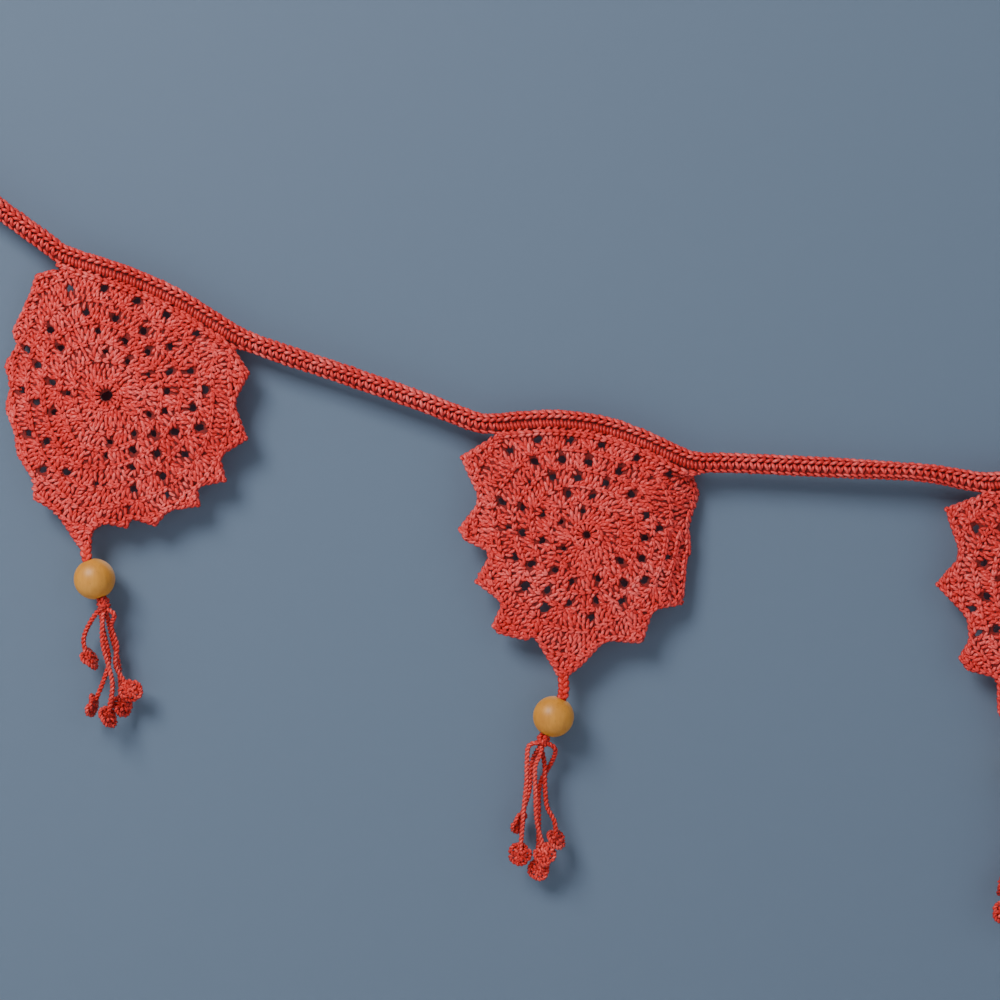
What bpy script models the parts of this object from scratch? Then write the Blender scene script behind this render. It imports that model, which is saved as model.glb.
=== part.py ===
"""A crocheted door hanging: a band with three pointed pennants, each with a wooden bead and a tassel.

Blender 4.5, metres, +Z up. The hanging lies in the XZ plane and faces -Y.
The origin is where a nail bears in the left hanging eye, the highest point that holds the part.
Tables are in millimetres and degrees. An angle round a pennant is clockwise from straight up.
"""

import math
import random

import bmesh
import bpy
from mathutils import Vector, geometry

MM = 0.001
GAP = 0.3  # between pieces that touch, in mm

BAND_WIDTH = 8.6
BAND_RELIEF = 2.2  # from the band's middle plane to the top of its upper row
BAND_STEP = 6.0

SHEET_THICKNESS = 2.6
SHEET_BULGE = 3.0  # how far a pennant's middle stands out in front of its rim
FILL_SPACING = 7.5  # between the points that carry a pennant's curve
FILL_CLEARANCE = 2.4
GAP_SIDES = 6
GAP_SEED = 11
GAP_LONGER = (0.95, 1.25)  # its length out from the centre, as a share of its radius
GAP_WIDER = (0.75, 1.0)
EDGE_REACH = 50.0  # the furthest edge that the rings of gaps follow
EDGE_SPREAD = (-14, -7, 0, 7, 14)  # degrees over which an edge's distance is averaged, to pass its points
CORNER_CUT = 0.22  # share of each side of the outline that its corners take

EYE_LENGTH = 15.0  # inside, along the band
EYE_WIDTH = 9.0  # inside, across the band
EYE_CORD = 3.0
EYE_STEPS = 12  # round each end

BEAD_DIAMETER = 16.4
BEAD_BORE = 4.6
BEAD_STEPS = 20
BEAD_PROFILE = 12  # sides of its half section

NECK_TOP_RADIUS = 2.3
NECK_LOWER_RADIUS = BEAD_BORE / 2 - GAP
NECK_PROUD = 0.4  # beyond the bead, at its lower end

STRAND_RADIUS = 1.15
STRAND_STEP = 4.0
TASSEL_HEAD_RADIUS = 2.6
TASSEL_HEAD_FLATNESS = 0.8
ROSETTE_RADIUS = 4.3
ROSETTE_DEPTH = 1.9
ROSETTE_PETALS = 5
ROSETTE_LOBE = 0.16

# Middle line of the band: x, z and how far its face turns round it.
BAND_ROUTE = [
    (14.5, -11.2, 10),
    (30.0, -23.4, 15),
    (50.0, -37.8, 5),
    (56.0, -42.0, 0),
    (70.0, -46.6, 0),
    (86.0, -52.2, 0),
    (102.0, -59.9, 0),
    (116.0, -68.6, 0),
    (128.0, -75.8, 5),
    (146.8, -82.7, 15),
    (158.8, -86.7, 22),
    (171.2, -90.9, 15),
    (195.6, -99.3, 5),
    (214.0, -106.3, 0),
    (224.0, -109.4, 0),
    (238.0, -108.6, 0),
    (252.0, -107.9, 0),
    (270.0, -110.0, 0),
    (286.0, -115.2, 0),
    (300.0, -121.6, 0),
    (309.0, -124.8, 0),
    (326.0, -125.3, -5),
    (356.8, -126.8, -10),
    (387.2, -128.5, -42),
    (404.0, -129.8, -38),
    (420.0, -132.6, -5),
    (430.0, -132.6, 0),
    (444.0, -130.8, 0),
    (458.0, -129.8, 0),
    (474.0, -130.4, 0),
    (488.0, -132.6, 0),
    (502.0, -135.4, 0),
    (514.0, -134.4, 8),
    (528.0, -131.0, 12),
    (540.0, -127.6, 8),
]

# Front half of the band's section: share of half its width, share of its relief.
BAND_SECTION = [
    (1.0, 0.0),
    (0.86, 0.72),
    (0.5, 1.0),
    (0.14, 0.66),
    (-0.3, 0.6),
    (-0.66, 0.8),
    (-0.92, 0.5),
    (-1.0, 0.0),
]

# Free edge of each pennant from where the band leaves it on the left, down, round the tip and up on the
# right: x and z from the pennant's centre.
EDGE_1 = [
    (-20.8, 50.6),
    (-29.2, 48.6),
    (-31.2, 41.6),
    (-35.6, 32.6),
    (-39.2, 26.6),
    (-36.8, 20.4),
    (-42.8, 12.4),
    (-39.6, 4.4),
    (-42.2, -4.6),
    (-37.6, -15.6),
    (-36.8, -23.6),
    (-29.8, -33.6),
    (-29.8, -41.2),
    (-20.8, -46.4),
    (-12.2, -59.4),
    (-10.6, -61.0),
    (-7.0, -61.0),
    (-6.4, -54.0),
    (-1.6, -50.8),
    (7.6, -52.8),
    (9.6, -49.0),
    (19.0, -52.0),
    (24.4, -45.6),
    (36.6, -44.0),
    (35.8, -36.2),
    (47.2, -34.0),
    (44.8, -24.0),
    (55.8, -17.2),
    (50.4, -2.6),
    (56.6, 9.2),
    (50.2, 19.0),
]
EDGE_2 = [
    (-40.0, 37.6),
    (-50.4, 31.2),
    (-42.4, 13.8),
    (-51.2, 2.4),
    (-48.6, -2.0),
    (-38.0, -7.2),
    (-44.6, -18.8),
    (-33.4, -27.0),
    (-37.8, -36.4),
    (-35.2, -39.4),
    (-24.2, -42.0),
    (-21.0, -40.4),
    (-13.0, -53.4),
    (-11.8, -56.0),
    (-6.8, -56.0),
    (-1.4, -51.6),
    (7.4, -42.0),
    (20.6, -43.2),
    (22.6, -42.4),
    (26.6, -29.6),
    (38.8, -27.8),
    (40.2, -10.0),
    (42.0, -6.8),
    (41.0, 4.6),
    (45.6, 16.0),
    (42.6, 24.2),
]
EDGE_3 = [
    (-36.0, 36.8),
    (-48.0, 32.2),
    (-41.6, 13.4),
    (-51.6, 1.8),
    (-39.2, -11.2),
    (-38.2, -20.4),
    (-42.4, -27.6),
    (-39.0, -32.4),
    (-27.2, -35.6),
    (-26.8, -49.2),
    (-19.6, -60.6),
    (-14.6, -60.6),
    (-8.4, -53.2),
    (0.8, -46.6),
    (13.8, -50.0),
    (15.8, -39.6),
    (30.8, -37.2),
    (30.4, -26.0),
    (43.0, -20.8),
    (38.8, -9.0),
    (50.0, -0.6),
    (43.6, 9.8),
    (51.0, 20.4),
    (46.0, 33.6),
]

# Gaps between the stitches, ring by ring: share of the way from the pennant's centre to its edge, the
# gap's radius, and the angles at which the ring has one.
GAPS_1 = [
    (0.0, 2.3, [0]),
    (0.37, 1.2, [-87, -1, 31, 64, 114, 144, 176]),
    (0.53, 1.5, [-107, -76, -44, -7, 18, 43, 69]),
    (0.48, 1.6, [86, 105, 129, 154, 179]),
    (0.69, 1.7, [-152, -127, -95, -66, -41, -14, 6, 29, 52, 73, 98]),
    (0.61, 1.8, [118, 139, 160, -178]),
    (0.83, 1.7, [-139, -115, -86, -60]),
    (0.91, 1.7, [-19, -2, 17, 36, 55]),
    (0.78, 1.8, [86, 109, 127, 145, 164]),
    (0.7, 1.7, [-174]),
    (0.92, 1.3, [149, 168]),
]
GAPS_2 = [
    (0.0, 1.4, [0]),
    (0.23, 1.1, [-120, -63, -9]),
    (0.39, 1.4, [-162, -138, -97, -64, -24, 9, 127, 165]),
    (0.55, 1.7, [-165, -144, -118, -88, -66, -30, -9, 20, 48, 72, 93, 113, 142, 171]),
    (0.61, 1.5, [-48]),
    (0.67, 2.3, [-150, -130]),
    (0.67, 1.7, [-107, -86, 85, 128, 152, 177]),
    (0.72, 1.8, [-68, -35, -18, 2, 27, 49]),
    (0.78, 1.5, [105]),
    (0.91, 1.6, [-42, -27, -10, 10, 33, 54]),
]
GAPS_3 = [
    (0.0, 1.8, [0]),
    (0.38, 1.3, [-147, -116, -85, -54, -23, 8, 39, 70, 101, 132, 163]),
    (0.54, 1.6, [-132, -107, -82, -58, -34, -10, 14, 38, 62, 87, 112, 137, 162]),
    (0.7, 1.7, [-142, -120, -95, -72, -45, -22, 0, 24, 48, 72, 98, 124, 146, 168]),
    (0.86, 1.6, [-117, -102, -56, -35, -14, 8, 30]),
]

# Each pennant: its centre's x and z, the stretch of the band it hangs from as two x values, its edge and
# gaps, and how it curls back: towards which angle, from how far out, and how deep at the edge.
PENNANTS = [
    {
        "centre": (73.6, -98.4), "hangs": (55.0, 126.0), "edge": EDGE_1, "gaps": GAPS_1,
        "curl_angle": 272, "curl_from": 20.0, "curl_depth": 8.0,
    },
    {
        "centre": (265.0, -154.0), "hangs": (227.0, 309.0), "edge": EDGE_2, "gaps": GAPS_2,
        "curl_angle": 92, "curl_from": 24.0, "curl_depth": 8.0,
    },
    {
        "centre": (456.4, -175.6), "hangs": (422.0, 502.0), "edge": EDGE_3, "gaps": GAPS_3,
        "curl_angle": 105, "curl_from": 30.0, "curl_depth": 4.0,
    },
]

# Each drop: the neck's top, the bead's centre, how far its lower end leans to the right, and the strands.
# A strand is how its end's rosette is turned round Z and round Y, and its points below the tassel's head:
# x and z from the bead's centre, and y behind the middle plane.
STRANDS_1 = [
    ((70, 35), [
        (0.6, -13.6, 1.2), (-3.6, -20.6, 1.6), (-4.6, -26.0, 1.8), (-2.2, -32.0, 2.2),
    ]),
    ((65, -20), [
        (3.4, -17.0, -1.2), (3.6, -26.0, -1.6), (6.0, -35.0, -1.6), (7.4, -43.0, -1.2), (5.6, -50.0, -1.2),
    ]),
    ((10, 20), [
        (8.0, -14.0, -1.2), (6.4, -19.0, 2.0), (8.6, -27.0, 2.6), (8.2, -35.0, 2.2), (14.4, -44.8, 0.4),
    ]),
    ((75, 5), [
        (2.6, -20.0, 4.6), (5.0, -32.0, 5.0), (3.4, -40.0, 3.4), (-0.8, -51.0, 1.4),
    ]),
    ((50, -10), [
        (5.6, -22.0, 6.2), (8.6, -34.0, 6.4), (9.8, -44.0, 4.4), (10.6, -51.0, 3.6),
    ]),
]
STRANDS_2 = [
    ((10, 0), [
        (-9.6, -11.4, -0.6), (-10.6, -18.0, -1.0), (-10.8, -26.0, -1.2), (-11.8, -36.0, -1.2),
        (-13.4, -54.8, -1.8),
    ]),
    ((-15, 20), [
        (-5.2, -14.6, -1.8), (-7.4, -20.0, -2.0), (-7.2, -30.0, -2.0), (-6.6, -42.0, -2.0),
        (-3.4, -54.6, -1.6),
    ]),
    ((55, -45), [
        (-3.6, -19.0, 1.0), (-3.4, -28.0, 0.6), (-2.6, -36.0, 0.4), (0.4, -42.0, 0.0), (1.0, -49.0, 0.0),
    ]),
    ((0, 80), [
        (0.4, -12.6, 0.0), (-0.4, -18.0, 3.4), (-5.4, -28.0, 5.0), (-5.8, -42.0, 5.2), (-6.0, -61.4, 2.2),
    ]),
    ((60, 15), [
        (-8.4, -18.0, 4.4), (-9.6, -30.0, 5.4), (-12.0, -38.0, 4.6), (-13.4, -43.0, 3.2),
    ]),
]
STRANDS_3 = [
    ((15, 0), [
        (-5.0, -12.6, -0.6), (-6.4, -22.0, -1.2), (-6.2, -34.0, -1.2), (-7.6, -46.0, -1.4),
        (-9.4, -54.0, -1.8),
    ]),
    ((-20, 20), [
        (0.2, -18.0, -2.0), (-0.6, -30.0, -2.2), (0.8, -42.0, -2.0), (1.8, -50.0, -1.8),
    ]),
    ((50, -40), [
        (5.2, -14.0, 0.8), (4.4, -24.0, 0.6), (5.8, -34.0, 0.4), (9.4, -43.0, 0.2),
    ]),
    ((0, 75), [
        (1.6, -20.0, 4.4), (-1.6, -34.0, 5.2), (-3.2, -48.0, 4.6), (-2.6, -60.0, 2.6),
    ]),
    ((60, 15), [
        (-3.0, -20.0, 5.0), (-3.8, -32.0, 5.6), (-6.4, -40.0, 5.0), (-8.6, -43.4, 3.4),
    ]),
]
DROPS = [
    {"top": (64.8, -159.7), "bead": (68.2, -171.6), "lean": 20, "strands": STRANDS_1},
    {"top": (255.7, -210.3), "bead": (251.8, -226.6), "lean": -25, "strands": STRANDS_2},
    {"top": (439.2, -236.5), "bead": (440.6, -250.6), "lean": 6, "strands": STRANDS_3},
]

COTTON = ("coral_cotton", (0.62, 0.10, 0.075), 0.75)
COTTON_DEEP = ("coral_cord", (0.55, 0.07, 0.05), 0.75)
WOOD = ("pale_wood", (0.52, 0.29, 0.10), 0.45)


def clear_scene():
    for thing in list(bpy.data.objects):
        bpy.data.objects.remove(thing, do_unlink=True)


def new_collection(name):
    collection = bpy.data.collections.new(name)
    bpy.context.scene.collection.children.link(collection)
    return collection


def material(spec):
    name, colour, roughness = spec
    found = bpy.data.materials.get(name)
    if found:
        return found
    made = bpy.data.materials.new(name)
    made.use_nodes = True
    shader = made.node_tree.nodes["Principled BSDF"]
    shader.inputs["Base Color"].default_value = (*colour, 1.0)
    shader.inputs["Roughness"].default_value = roughness
    shader.inputs["Metallic"].default_value = 0.0
    return made


def add_object(name, data, collection, spec=None):
    made = bpy.data.objects.new(name, data)
    collection.objects.link(made)
    if spec:
        data.materials.append(material(spec))
    return made


def mesh_from(bm, name, smooth_angle=40):
    mesh = bpy.data.meshes.new(name)
    bm.to_mesh(mesh)
    bm.free()
    mesh.shade_smooth()
    mesh.set_sharp_from_angle(angle=math.radians(smooth_angle))
    return mesh


def as_mesh(curve_object, collection):
    """A curve object's evaluated mesh as a new object with its caps welded on. The curve is removed."""
    graph = bpy.context.evaluated_depsgraph_get()
    mesh = bpy.data.meshes.new_from_object(curve_object.evaluated_get(graph))
    name, place = curve_object.name, curve_object.matrix_world.copy()
    bpy.data.objects.remove(curve_object, do_unlink=True)
    bm = bmesh.new()
    bm.from_mesh(mesh)
    bmesh.ops.remove_doubles(bm, verts=bm.verts, dist=0.00001)
    bmesh.ops.recalc_face_normals(bm, faces=bm.faces)
    bm.to_mesh(mesh)
    bm.free()
    made = add_object(name, mesh, collection)
    made.matrix_world = place
    return made


def hide_as_cutter(thing):
    thing.hide_render = True
    thing.display_type = "WIRE"


def catmull_rom(rows, step):
    """Rows of numbers along a smooth curve through the given rows, about step apart in their first two."""
    rows = [Vector(row) for row in rows]
    ends = [rows[0] * 2 - rows[1], *rows, rows[-1] * 2 - rows[-2]]
    out = []
    for before, start, end, after in zip(ends, ends[1:], ends[2:], ends[3:]):
        pieces = max(1, round((end.to_2d() - start.to_2d()).length / step))
        for i in range(pieces):
            t = i / pieces
            out.append(
                0.5 * (
                    2 * start
                    + (end - before) * t
                    + (2 * before - 5 * start + 4 * end - after) * t ** 2
                    + (3 * start - before - 3 * end + after) * t ** 3
                )
            )
    return [*out, rows[-1]]


def across(rows, i):
    """The direction across a route at row i, pointing up, in the plane of x and z."""
    along = (rows[min(i + 1, len(rows) - 1)].to_2d() - rows[max(i - 1, 0)].to_2d()).normalized()
    return Vector((-along.y, along.x))


def loft(rings):
    """A closed bmesh through rings of as many points each, with flat ends."""
    bm = bmesh.new()
    loops = [[bm.verts.new(point) for point in ring] for ring in rings]
    for a, b in zip(loops, loops[1:]):
        for i in range(len(a)):
            j = (i + 1) % len(a)
            bm.faces.new((a[i], a[j], b[j], b[i]))
    bm.faces.new(loops[0])
    bm.faces.new(reversed(loops[-1]))
    bmesh.ops.recalc_face_normals(bm, faces=bm.faces)
    return bm


def build_band(collection):
    rows = catmull_rom(BAND_ROUTE, BAND_STEP)
    back = [(u, -v) for u, v in reversed(BAND_SECTION[1:-1])]
    rings = []
    for i, row in enumerate(rows):
        up = across(rows, i)
        turn = math.radians(row.z)
        ring = []
        for u, v in BAND_SECTION + back:
            high, out = u * BAND_WIDTH / 2, v * BAND_RELIEF
            lift = high * math.cos(turn) - out * math.sin(turn)
            depth = high * math.sin(turn) + out * math.cos(turn)
            x, z = row.to_2d() + up * lift
            ring.append(Vector((x, -depth, z)) * MM)
        rings.append(ring)
    add_object("band", mesh_from(loft(rings), "band"), collection, COTTON)


def build_eye(name, band_end, outward, collection):
    """A flat loop of cord, a gap away from the band's end. outward is an angle above +X."""
    from_end = GAP + EYE_CORD + EYE_LENGTH / 2
    centre = Vector(band_end) + Vector((math.cos(outward), math.sin(outward))) * from_end
    round_radius = (EYE_WIDTH + EYE_CORD) / 2
    straight = (EYE_LENGTH + EYE_CORD) / 2 - round_radius
    curve = bpy.data.curves.new(name, "CURVE")
    curve.dimensions = "3D"
    curve.bevel_depth = EYE_CORD / 2 * MM
    curve.bevel_resolution = 2
    spline = curve.splines.new("POLY")
    spline.use_cyclic_u = True
    turns = [-math.pi / 2 + math.pi * i / EYE_STEPS for i in range(EYE_STEPS + 1)]
    points = [(straight + round_radius * math.cos(a), round_radius * math.sin(a)) for a in turns]
    points += [(-x, -y) for x, y in points]
    spline.points.add(len(points) - 1)
    for point, (x, y) in zip(spline.points, points):
        point.co = (x * MM, 0.0, y * MM, 1.0)
    made = add_object(name, curve, collection, COTTON)
    made.location = (centre.x * MM, 0.0, centre.y * MM)
    made.rotation_euler.y = -outward
    return made


def build_eyes(collection):
    first, second = (Vector(row[:2]) for row in BAND_ROUTE[:2])
    last, before = (Vector(row[:2]) for row in (BAND_ROUTE[-1], BAND_ROUTE[-2]))
    for name, end, inner in (("eye_left", first, second), ("eye_right", last, before)):
        away = end - inner
        build_eye(name, end, math.atan2(away.y, away.x), collection)


def rounded(points):
    """The same open outline with each corner cut into two points."""
    out = [points[0]]
    for a, b in zip(points, points[1:]):
        out += [a.lerp(b, CORNER_CUT), b.lerp(a, CORNER_CUT)]
    return [out[0], *out[2:-1], points[-1]]


def pennant_outline(pennant):
    """The whole outline, closed: the free edge, then back to the left under the band."""
    centre = Vector(pennant["centre"])
    edge = rounded([Vector(point) + centre for point in pennant["edge"]])
    rows = catmull_rom(BAND_ROUTE, BAND_STEP)
    low, high = pennant["hangs"]
    top = []
    for i, row in enumerate(rows):
        if low <= row.x <= high:
            top.append(row.to_2d() - across(rows, i) * (BAND_WIDTH / 2 + GAP))
    return edge + top[::-1]


def direction(angle):
    """The unit vector at an angle clockwise from straight up."""
    turn = math.radians(angle)
    return Vector((math.sin(turn), math.cos(turn)))


def reach(outline, centre, angle):
    """How far the outline is from the centre in a direction, averaged over EDGE_SPREAD."""
    found = []
    for spread in EDGE_SPREAD:
        ray = direction(angle + spread) * EDGE_REACH * 4
        hits = [
            geometry.intersect_line_line_2d(centre, centre + ray, a, b)
            for a, b in zip(outline, outline[1:] + outline[:1])
        ]
        found.append(max((hit - centre).length for hit in hits if hit))
    return sum(found) / len(found)


def pennant_gaps(pennant, outline):
    """The outlines of the gaps that are cut through a pennant."""
    centre = Vector(pennant["centre"])
    chance = random.Random(GAP_SEED)
    gaps = []
    for share, radius, angles in pennant["gaps"]:
        for angle in angles:
            out = direction(angle)
            aside = Vector((out.y, -out.x))
            middle = centre + out * share * min(EDGE_REACH, reach(outline, centre, angle))
            long = radius * chance.uniform(*GAP_LONGER)
            wide = radius * chance.uniform(*GAP_WIDER)
            start = chance.uniform(0, 60)
            gap = []
            for corner in range(GAP_SIDES):
                turn = math.radians(start + corner * 360 / GAP_SIDES)
                gap.append(middle + out * long * math.cos(turn) + aside * wide * math.sin(turn))
            gaps.append(gap)
    return gaps


def inside(point, polygon):
    crossings = 0
    for a, b in zip(polygon, polygon[1:] + polygon[:1]):
        if (a.y > point.y) != (b.y > point.y):
            crossings += point.x < a.x + (point.y - a.y) / (b.y - a.y) * (b.x - a.x)
    return crossings % 2 == 1


def distance_to(point, polygon):
    best = math.inf
    for a, b in zip(polygon, polygon[1:] + polygon[:1]):
        _, share = geometry.intersect_point_line(point, a, b)
        best = min(best, (a.lerp(b, min(1.0, max(0.0, share))) - point).length)
    return best


def fill_points(outline, gaps):
    """Points inside the cloth on a triangular lattice, clear of its edges."""
    low_x, high_x = min(p.x for p in outline), max(p.x for p in outline)
    low_z, high_z = min(p.y for p in outline), max(p.y for p in outline)
    row_height = FILL_SPACING * math.sqrt(3) / 2
    found = []
    for row in range(int((high_z - low_z) / row_height) + 1):
        for column in range(int((high_x - low_x) / FILL_SPACING) + 1):
            point = Vector((low_x + (column + row % 2 / 2) * FILL_SPACING, low_z + row * row_height))
            if not inside(point, outline) or distance_to(point, outline) < FILL_CLEARANCE:
                continue
            if all(distance_to(point, gap) > FILL_CLEARANCE and not inside(point, gap) for gap in gaps):
                found.append(point)
    return found


def cloth_depth(pennant, point, outline):
    """How far behind the middle plane the cloth lies: its bulge in front and its curl at one side."""
    centre = Vector(pennant["centre"])
    away = point - centre
    angle = math.degrees(math.atan2(away.x, away.y))
    share = min(1.0, away.length / reach(outline, centre, angle))
    depth = -SHEET_BULGE * (1 - share ** 2)
    toward = direction(pennant["curl_angle"])
    width = max(Vector(p).dot(toward) for p in pennant["edge"])
    beyond = max(0.0, away.dot(toward) - pennant["curl_from"]) / (width - pennant["curl_from"])
    return depth + pennant["curl_depth"] * beyond ** 2


def build_pennant(number, pennant, collection):
    name = f"pennant_{number}"
    outline = pennant_outline(pennant)
    gaps = pennant_gaps(pennant, outline)
    points, edges = [], []
    for loop in [outline, *gaps]:
        first = len(points)
        points += loop
        edges += [(first + i, first + (i + 1) % len(loop)) for i in range(len(loop))]
    points += fill_points(outline, gaps)
    placed, _, triangles, *_ = geometry.delaunay_2d_cdt(points, edges, [], 0, 1e-4)
    bm = bmesh.new()
    verts = []
    for p in placed:
        verts.append(bm.verts.new(Vector((p.x, cloth_depth(pennant, p, outline), p.y)) * MM))
    for triangle in triangles:
        middle = sum((placed[i] for i in triangle), Vector((0, 0))) / 3
        if inside(middle, outline) and not any(inside(middle, gap) for gap in gaps):
            bm.faces.new([verts[i] for i in triangle])
    bmesh.ops.delete(bm, geom=[v for v in bm.verts if not v.link_faces], context="VERTS")
    bmesh.ops.recalc_face_normals(bm, faces=bm.faces)
    made = add_object(name, mesh_from(bm, name), collection, COTTON)
    solidify = made.modifiers.new("thickness", "SOLIDIFY")
    solidify.thickness = SHEET_THICKNESS * MM
    solidify.offset = 0.0


def build_neck(number, drop, collection):
    """The stem from the pennant's tip through the bead, to a gap above the tassel's head."""
    name = f"neck_{number}"
    top, bead = Vector(drop["top"]), Vector(drop["bead"])
    axis = direction(180 - drop["lean"])
    entry = bead - axis * BEAD_DIAMETER / 2
    leave = bead + axis * (BEAD_DIAMETER / 2 + NECK_PROUD)
    curve = bpy.data.curves.new(name, "CURVE")
    curve.dimensions = "3D"
    curve.bevel_depth = MM
    curve.bevel_resolution = 2
    curve.use_fill_caps = True
    spline = curve.splines.new("POLY")
    stations = [
        (top, NECK_TOP_RADIUS),
        (top.lerp(entry, 0.5), NECK_TOP_RADIUS * 0.95),
        (entry - axis * 0.6, NECK_LOWER_RADIUS),
        (entry + axis * 2.0, NECK_LOWER_RADIUS),
        (bead, NECK_LOWER_RADIUS),
        (leave, NECK_LOWER_RADIUS),
    ]
    spline.points.add(len(stations) - 1)
    for point, (place, radius) in zip(spline.points, stations):
        point.co = (place.x * MM, 0.0, place.y * MM, 1.0)
        point.radius = radius
    add_object(name, curve, collection, COTTON_DEEP)


def build_bead(number, drop, collection):
    """A ball turned from its half section, with a straight bore."""
    name = f"bead_{number}"
    radius, bore = BEAD_DIAMETER / 2, BEAD_BORE / 2
    start = math.asin(bore / radius)
    section = []
    for i in range(BEAD_PROFILE + 1):
        turn = start + (math.pi - 2 * start) * i / BEAD_PROFILE
        section.append((radius * math.sin(turn), radius * math.cos(turn)))
    bm = bmesh.new()
    verts = [bm.verts.new((x * MM, 0.0, z * MM)) for x, z in section]
    for a, b in zip(verts, verts[1:] + verts[:1]):
        bm.edges.new((a, b))
    made = add_object(name, mesh_from(bm, name), collection, WOOD)
    screw = made.modifiers.new("turn", "SCREW")
    screw.steps = screw.render_steps = BEAD_STEPS
    screw.merge_threshold = 0.0001
    made.location = (drop["bead"][0] * MM, 0.0, drop["bead"][1] * MM)
    made.rotation_euler.y = -math.radians(drop["lean"])


def strand(name, points, centre, cutters):
    curve = bpy.data.curves.new(name, "CURVE")
    curve.dimensions = "3D"
    curve.bevel_depth = STRAND_RADIUS * MM
    curve.bevel_resolution = 0
    curve.use_fill_caps = True
    rows = catmull_rom(points, STRAND_STEP)
    spline = curve.splines.new("POLY")
    spline.points.add(len(rows) - 1)
    for point, (x, z, y) in zip(spline.points, rows):
        point.co = ((centre[0] + x) * MM, y * MM, (centre[1] + z) * MM, 1.0)
    made = add_object(name, curve, cutters)
    return as_mesh(made, cutters)


def rosette(name, place, turns, cutters):
    """A small flower of rounded petals, flatter than it is wide."""
    bm = bmesh.new()
    bmesh.ops.create_icosphere(bm, subdivisions=2, radius=1.0)
    for vert in bm.verts:
        turn = math.atan2(vert.co.z, vert.co.x)
        lobe = 1 + ROSETTE_LOBE * math.cos(ROSETTE_PETALS * turn)
        vert.co.x *= lobe * ROSETTE_RADIUS * MM
        vert.co.z *= lobe * ROSETTE_RADIUS * MM
        vert.co.y *= ROSETTE_DEPTH * MM
    made = add_object(name, mesh_from(bm, name), cutters)
    made.location = place
    made.rotation_euler = (0.0, math.radians(turns[1]), math.radians(turns[0]))
    return made


def build_tassel(number, drop, collection, cutters):
    """A small head under the bead, with the strands and their rosettes joined on."""
    name = f"tassel_{number}"
    centre = Vector(drop["bead"])
    axis = direction(180 - drop["lean"])
    root = axis * (BEAD_DIAMETER / 2 + NECK_PROUD + GAP + TASSEL_HEAD_RADIUS * TASSEL_HEAD_FLATNESS)
    bm = bmesh.new()
    bmesh.ops.create_uvsphere(bm, u_segments=12, v_segments=8, radius=TASSEL_HEAD_RADIUS * MM)
    for vert in bm.verts:
        vert.co.z *= TASSEL_HEAD_FLATNESS
    made = add_object(name, mesh_from(bm, name), collection, COTTON_DEEP)
    made.location = ((centre.x + root.x) * MM, 0.0, (centre.y + root.y) * MM)
    joined = []
    for i, (turns, points) in enumerate(drop["strands"]):
        route = [(root.x, root.y, 0.0), *points]
        joined.append(strand(f"strand_{number}_{i}", route, centre, cutters))
        x, z, y = points[-1]
        place = Vector((centre[0] + x, y, centre[1] + z)) * MM
        joined.append(rosette(f"rosette_{number}_{i}", place, turns, cutters))
    for piece in joined:
        hide_as_cutter(piece)
        union = made.modifiers.new(piece.name, "BOOLEAN")
        union.operation = "UNION"
        union.object = piece


def main():
    clear_scene()
    collection = new_collection("toran_door_hanging")
    cutters = new_collection("cutters")
    build_band(collection)
    build_eyes(collection)
    for number, (pennant, drop) in enumerate(zip(PENNANTS, DROPS), start=1):
        build_pennant(number, pennant, collection)
        build_neck(number, drop, collection)
        build_bead(number, drop, collection)
        build_tassel(number, drop, collection, cutters)


main()
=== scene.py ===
"""The looks of the crocheted door hanging: yarn stitch by stitch, wooden beads, tassels, wall and light.

Everything is placed in millimetres in the frame's own axes: x to the right, y back to the wall, z up.
An angle round a pennant is clockwise from straight up, in degrees.
"""

import math

import bpy
import numpy as np
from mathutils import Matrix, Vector, geometry


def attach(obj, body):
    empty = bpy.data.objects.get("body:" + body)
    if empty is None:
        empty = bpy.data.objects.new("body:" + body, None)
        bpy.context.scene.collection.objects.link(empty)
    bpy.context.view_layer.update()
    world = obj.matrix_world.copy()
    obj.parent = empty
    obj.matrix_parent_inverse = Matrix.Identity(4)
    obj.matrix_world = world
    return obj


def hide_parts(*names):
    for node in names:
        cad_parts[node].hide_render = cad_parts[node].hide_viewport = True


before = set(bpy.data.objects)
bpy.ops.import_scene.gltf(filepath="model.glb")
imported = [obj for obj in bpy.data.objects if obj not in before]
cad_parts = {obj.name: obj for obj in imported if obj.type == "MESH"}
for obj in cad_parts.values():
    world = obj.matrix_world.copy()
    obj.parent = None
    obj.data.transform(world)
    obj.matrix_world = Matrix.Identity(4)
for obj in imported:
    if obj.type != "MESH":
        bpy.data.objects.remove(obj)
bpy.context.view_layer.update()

MM = 0.001
ROOT = "root"
SEED = 5
chance = np.random.default_rng(SEED)

# The photograph's frame: 1000 pixels show 400 mm, and its middle lies here.
VIEW_WIDTH = 400.0
VIEW_MIDDLE = (230.4, -140.0)
STAGE_REACH = 3000.0  # of the wall and the floor to each side
LENS = 85.0
SENSOR = 36.0

KEY_POWER = 30.0
FILL_POWER = 3.0
BEHIND_POWER = 11.0
SKY_STRENGTH = 0.36

BAND_WIDTH = 8.6
BAND_STEP = 6.0  # between points on the band's route
GAP = 0.3
BAND_CORE = (3.5, 0.9)  # half the width and half the thickness of what lies behind the band's stitches
BAND_PITCH = 2.9

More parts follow.
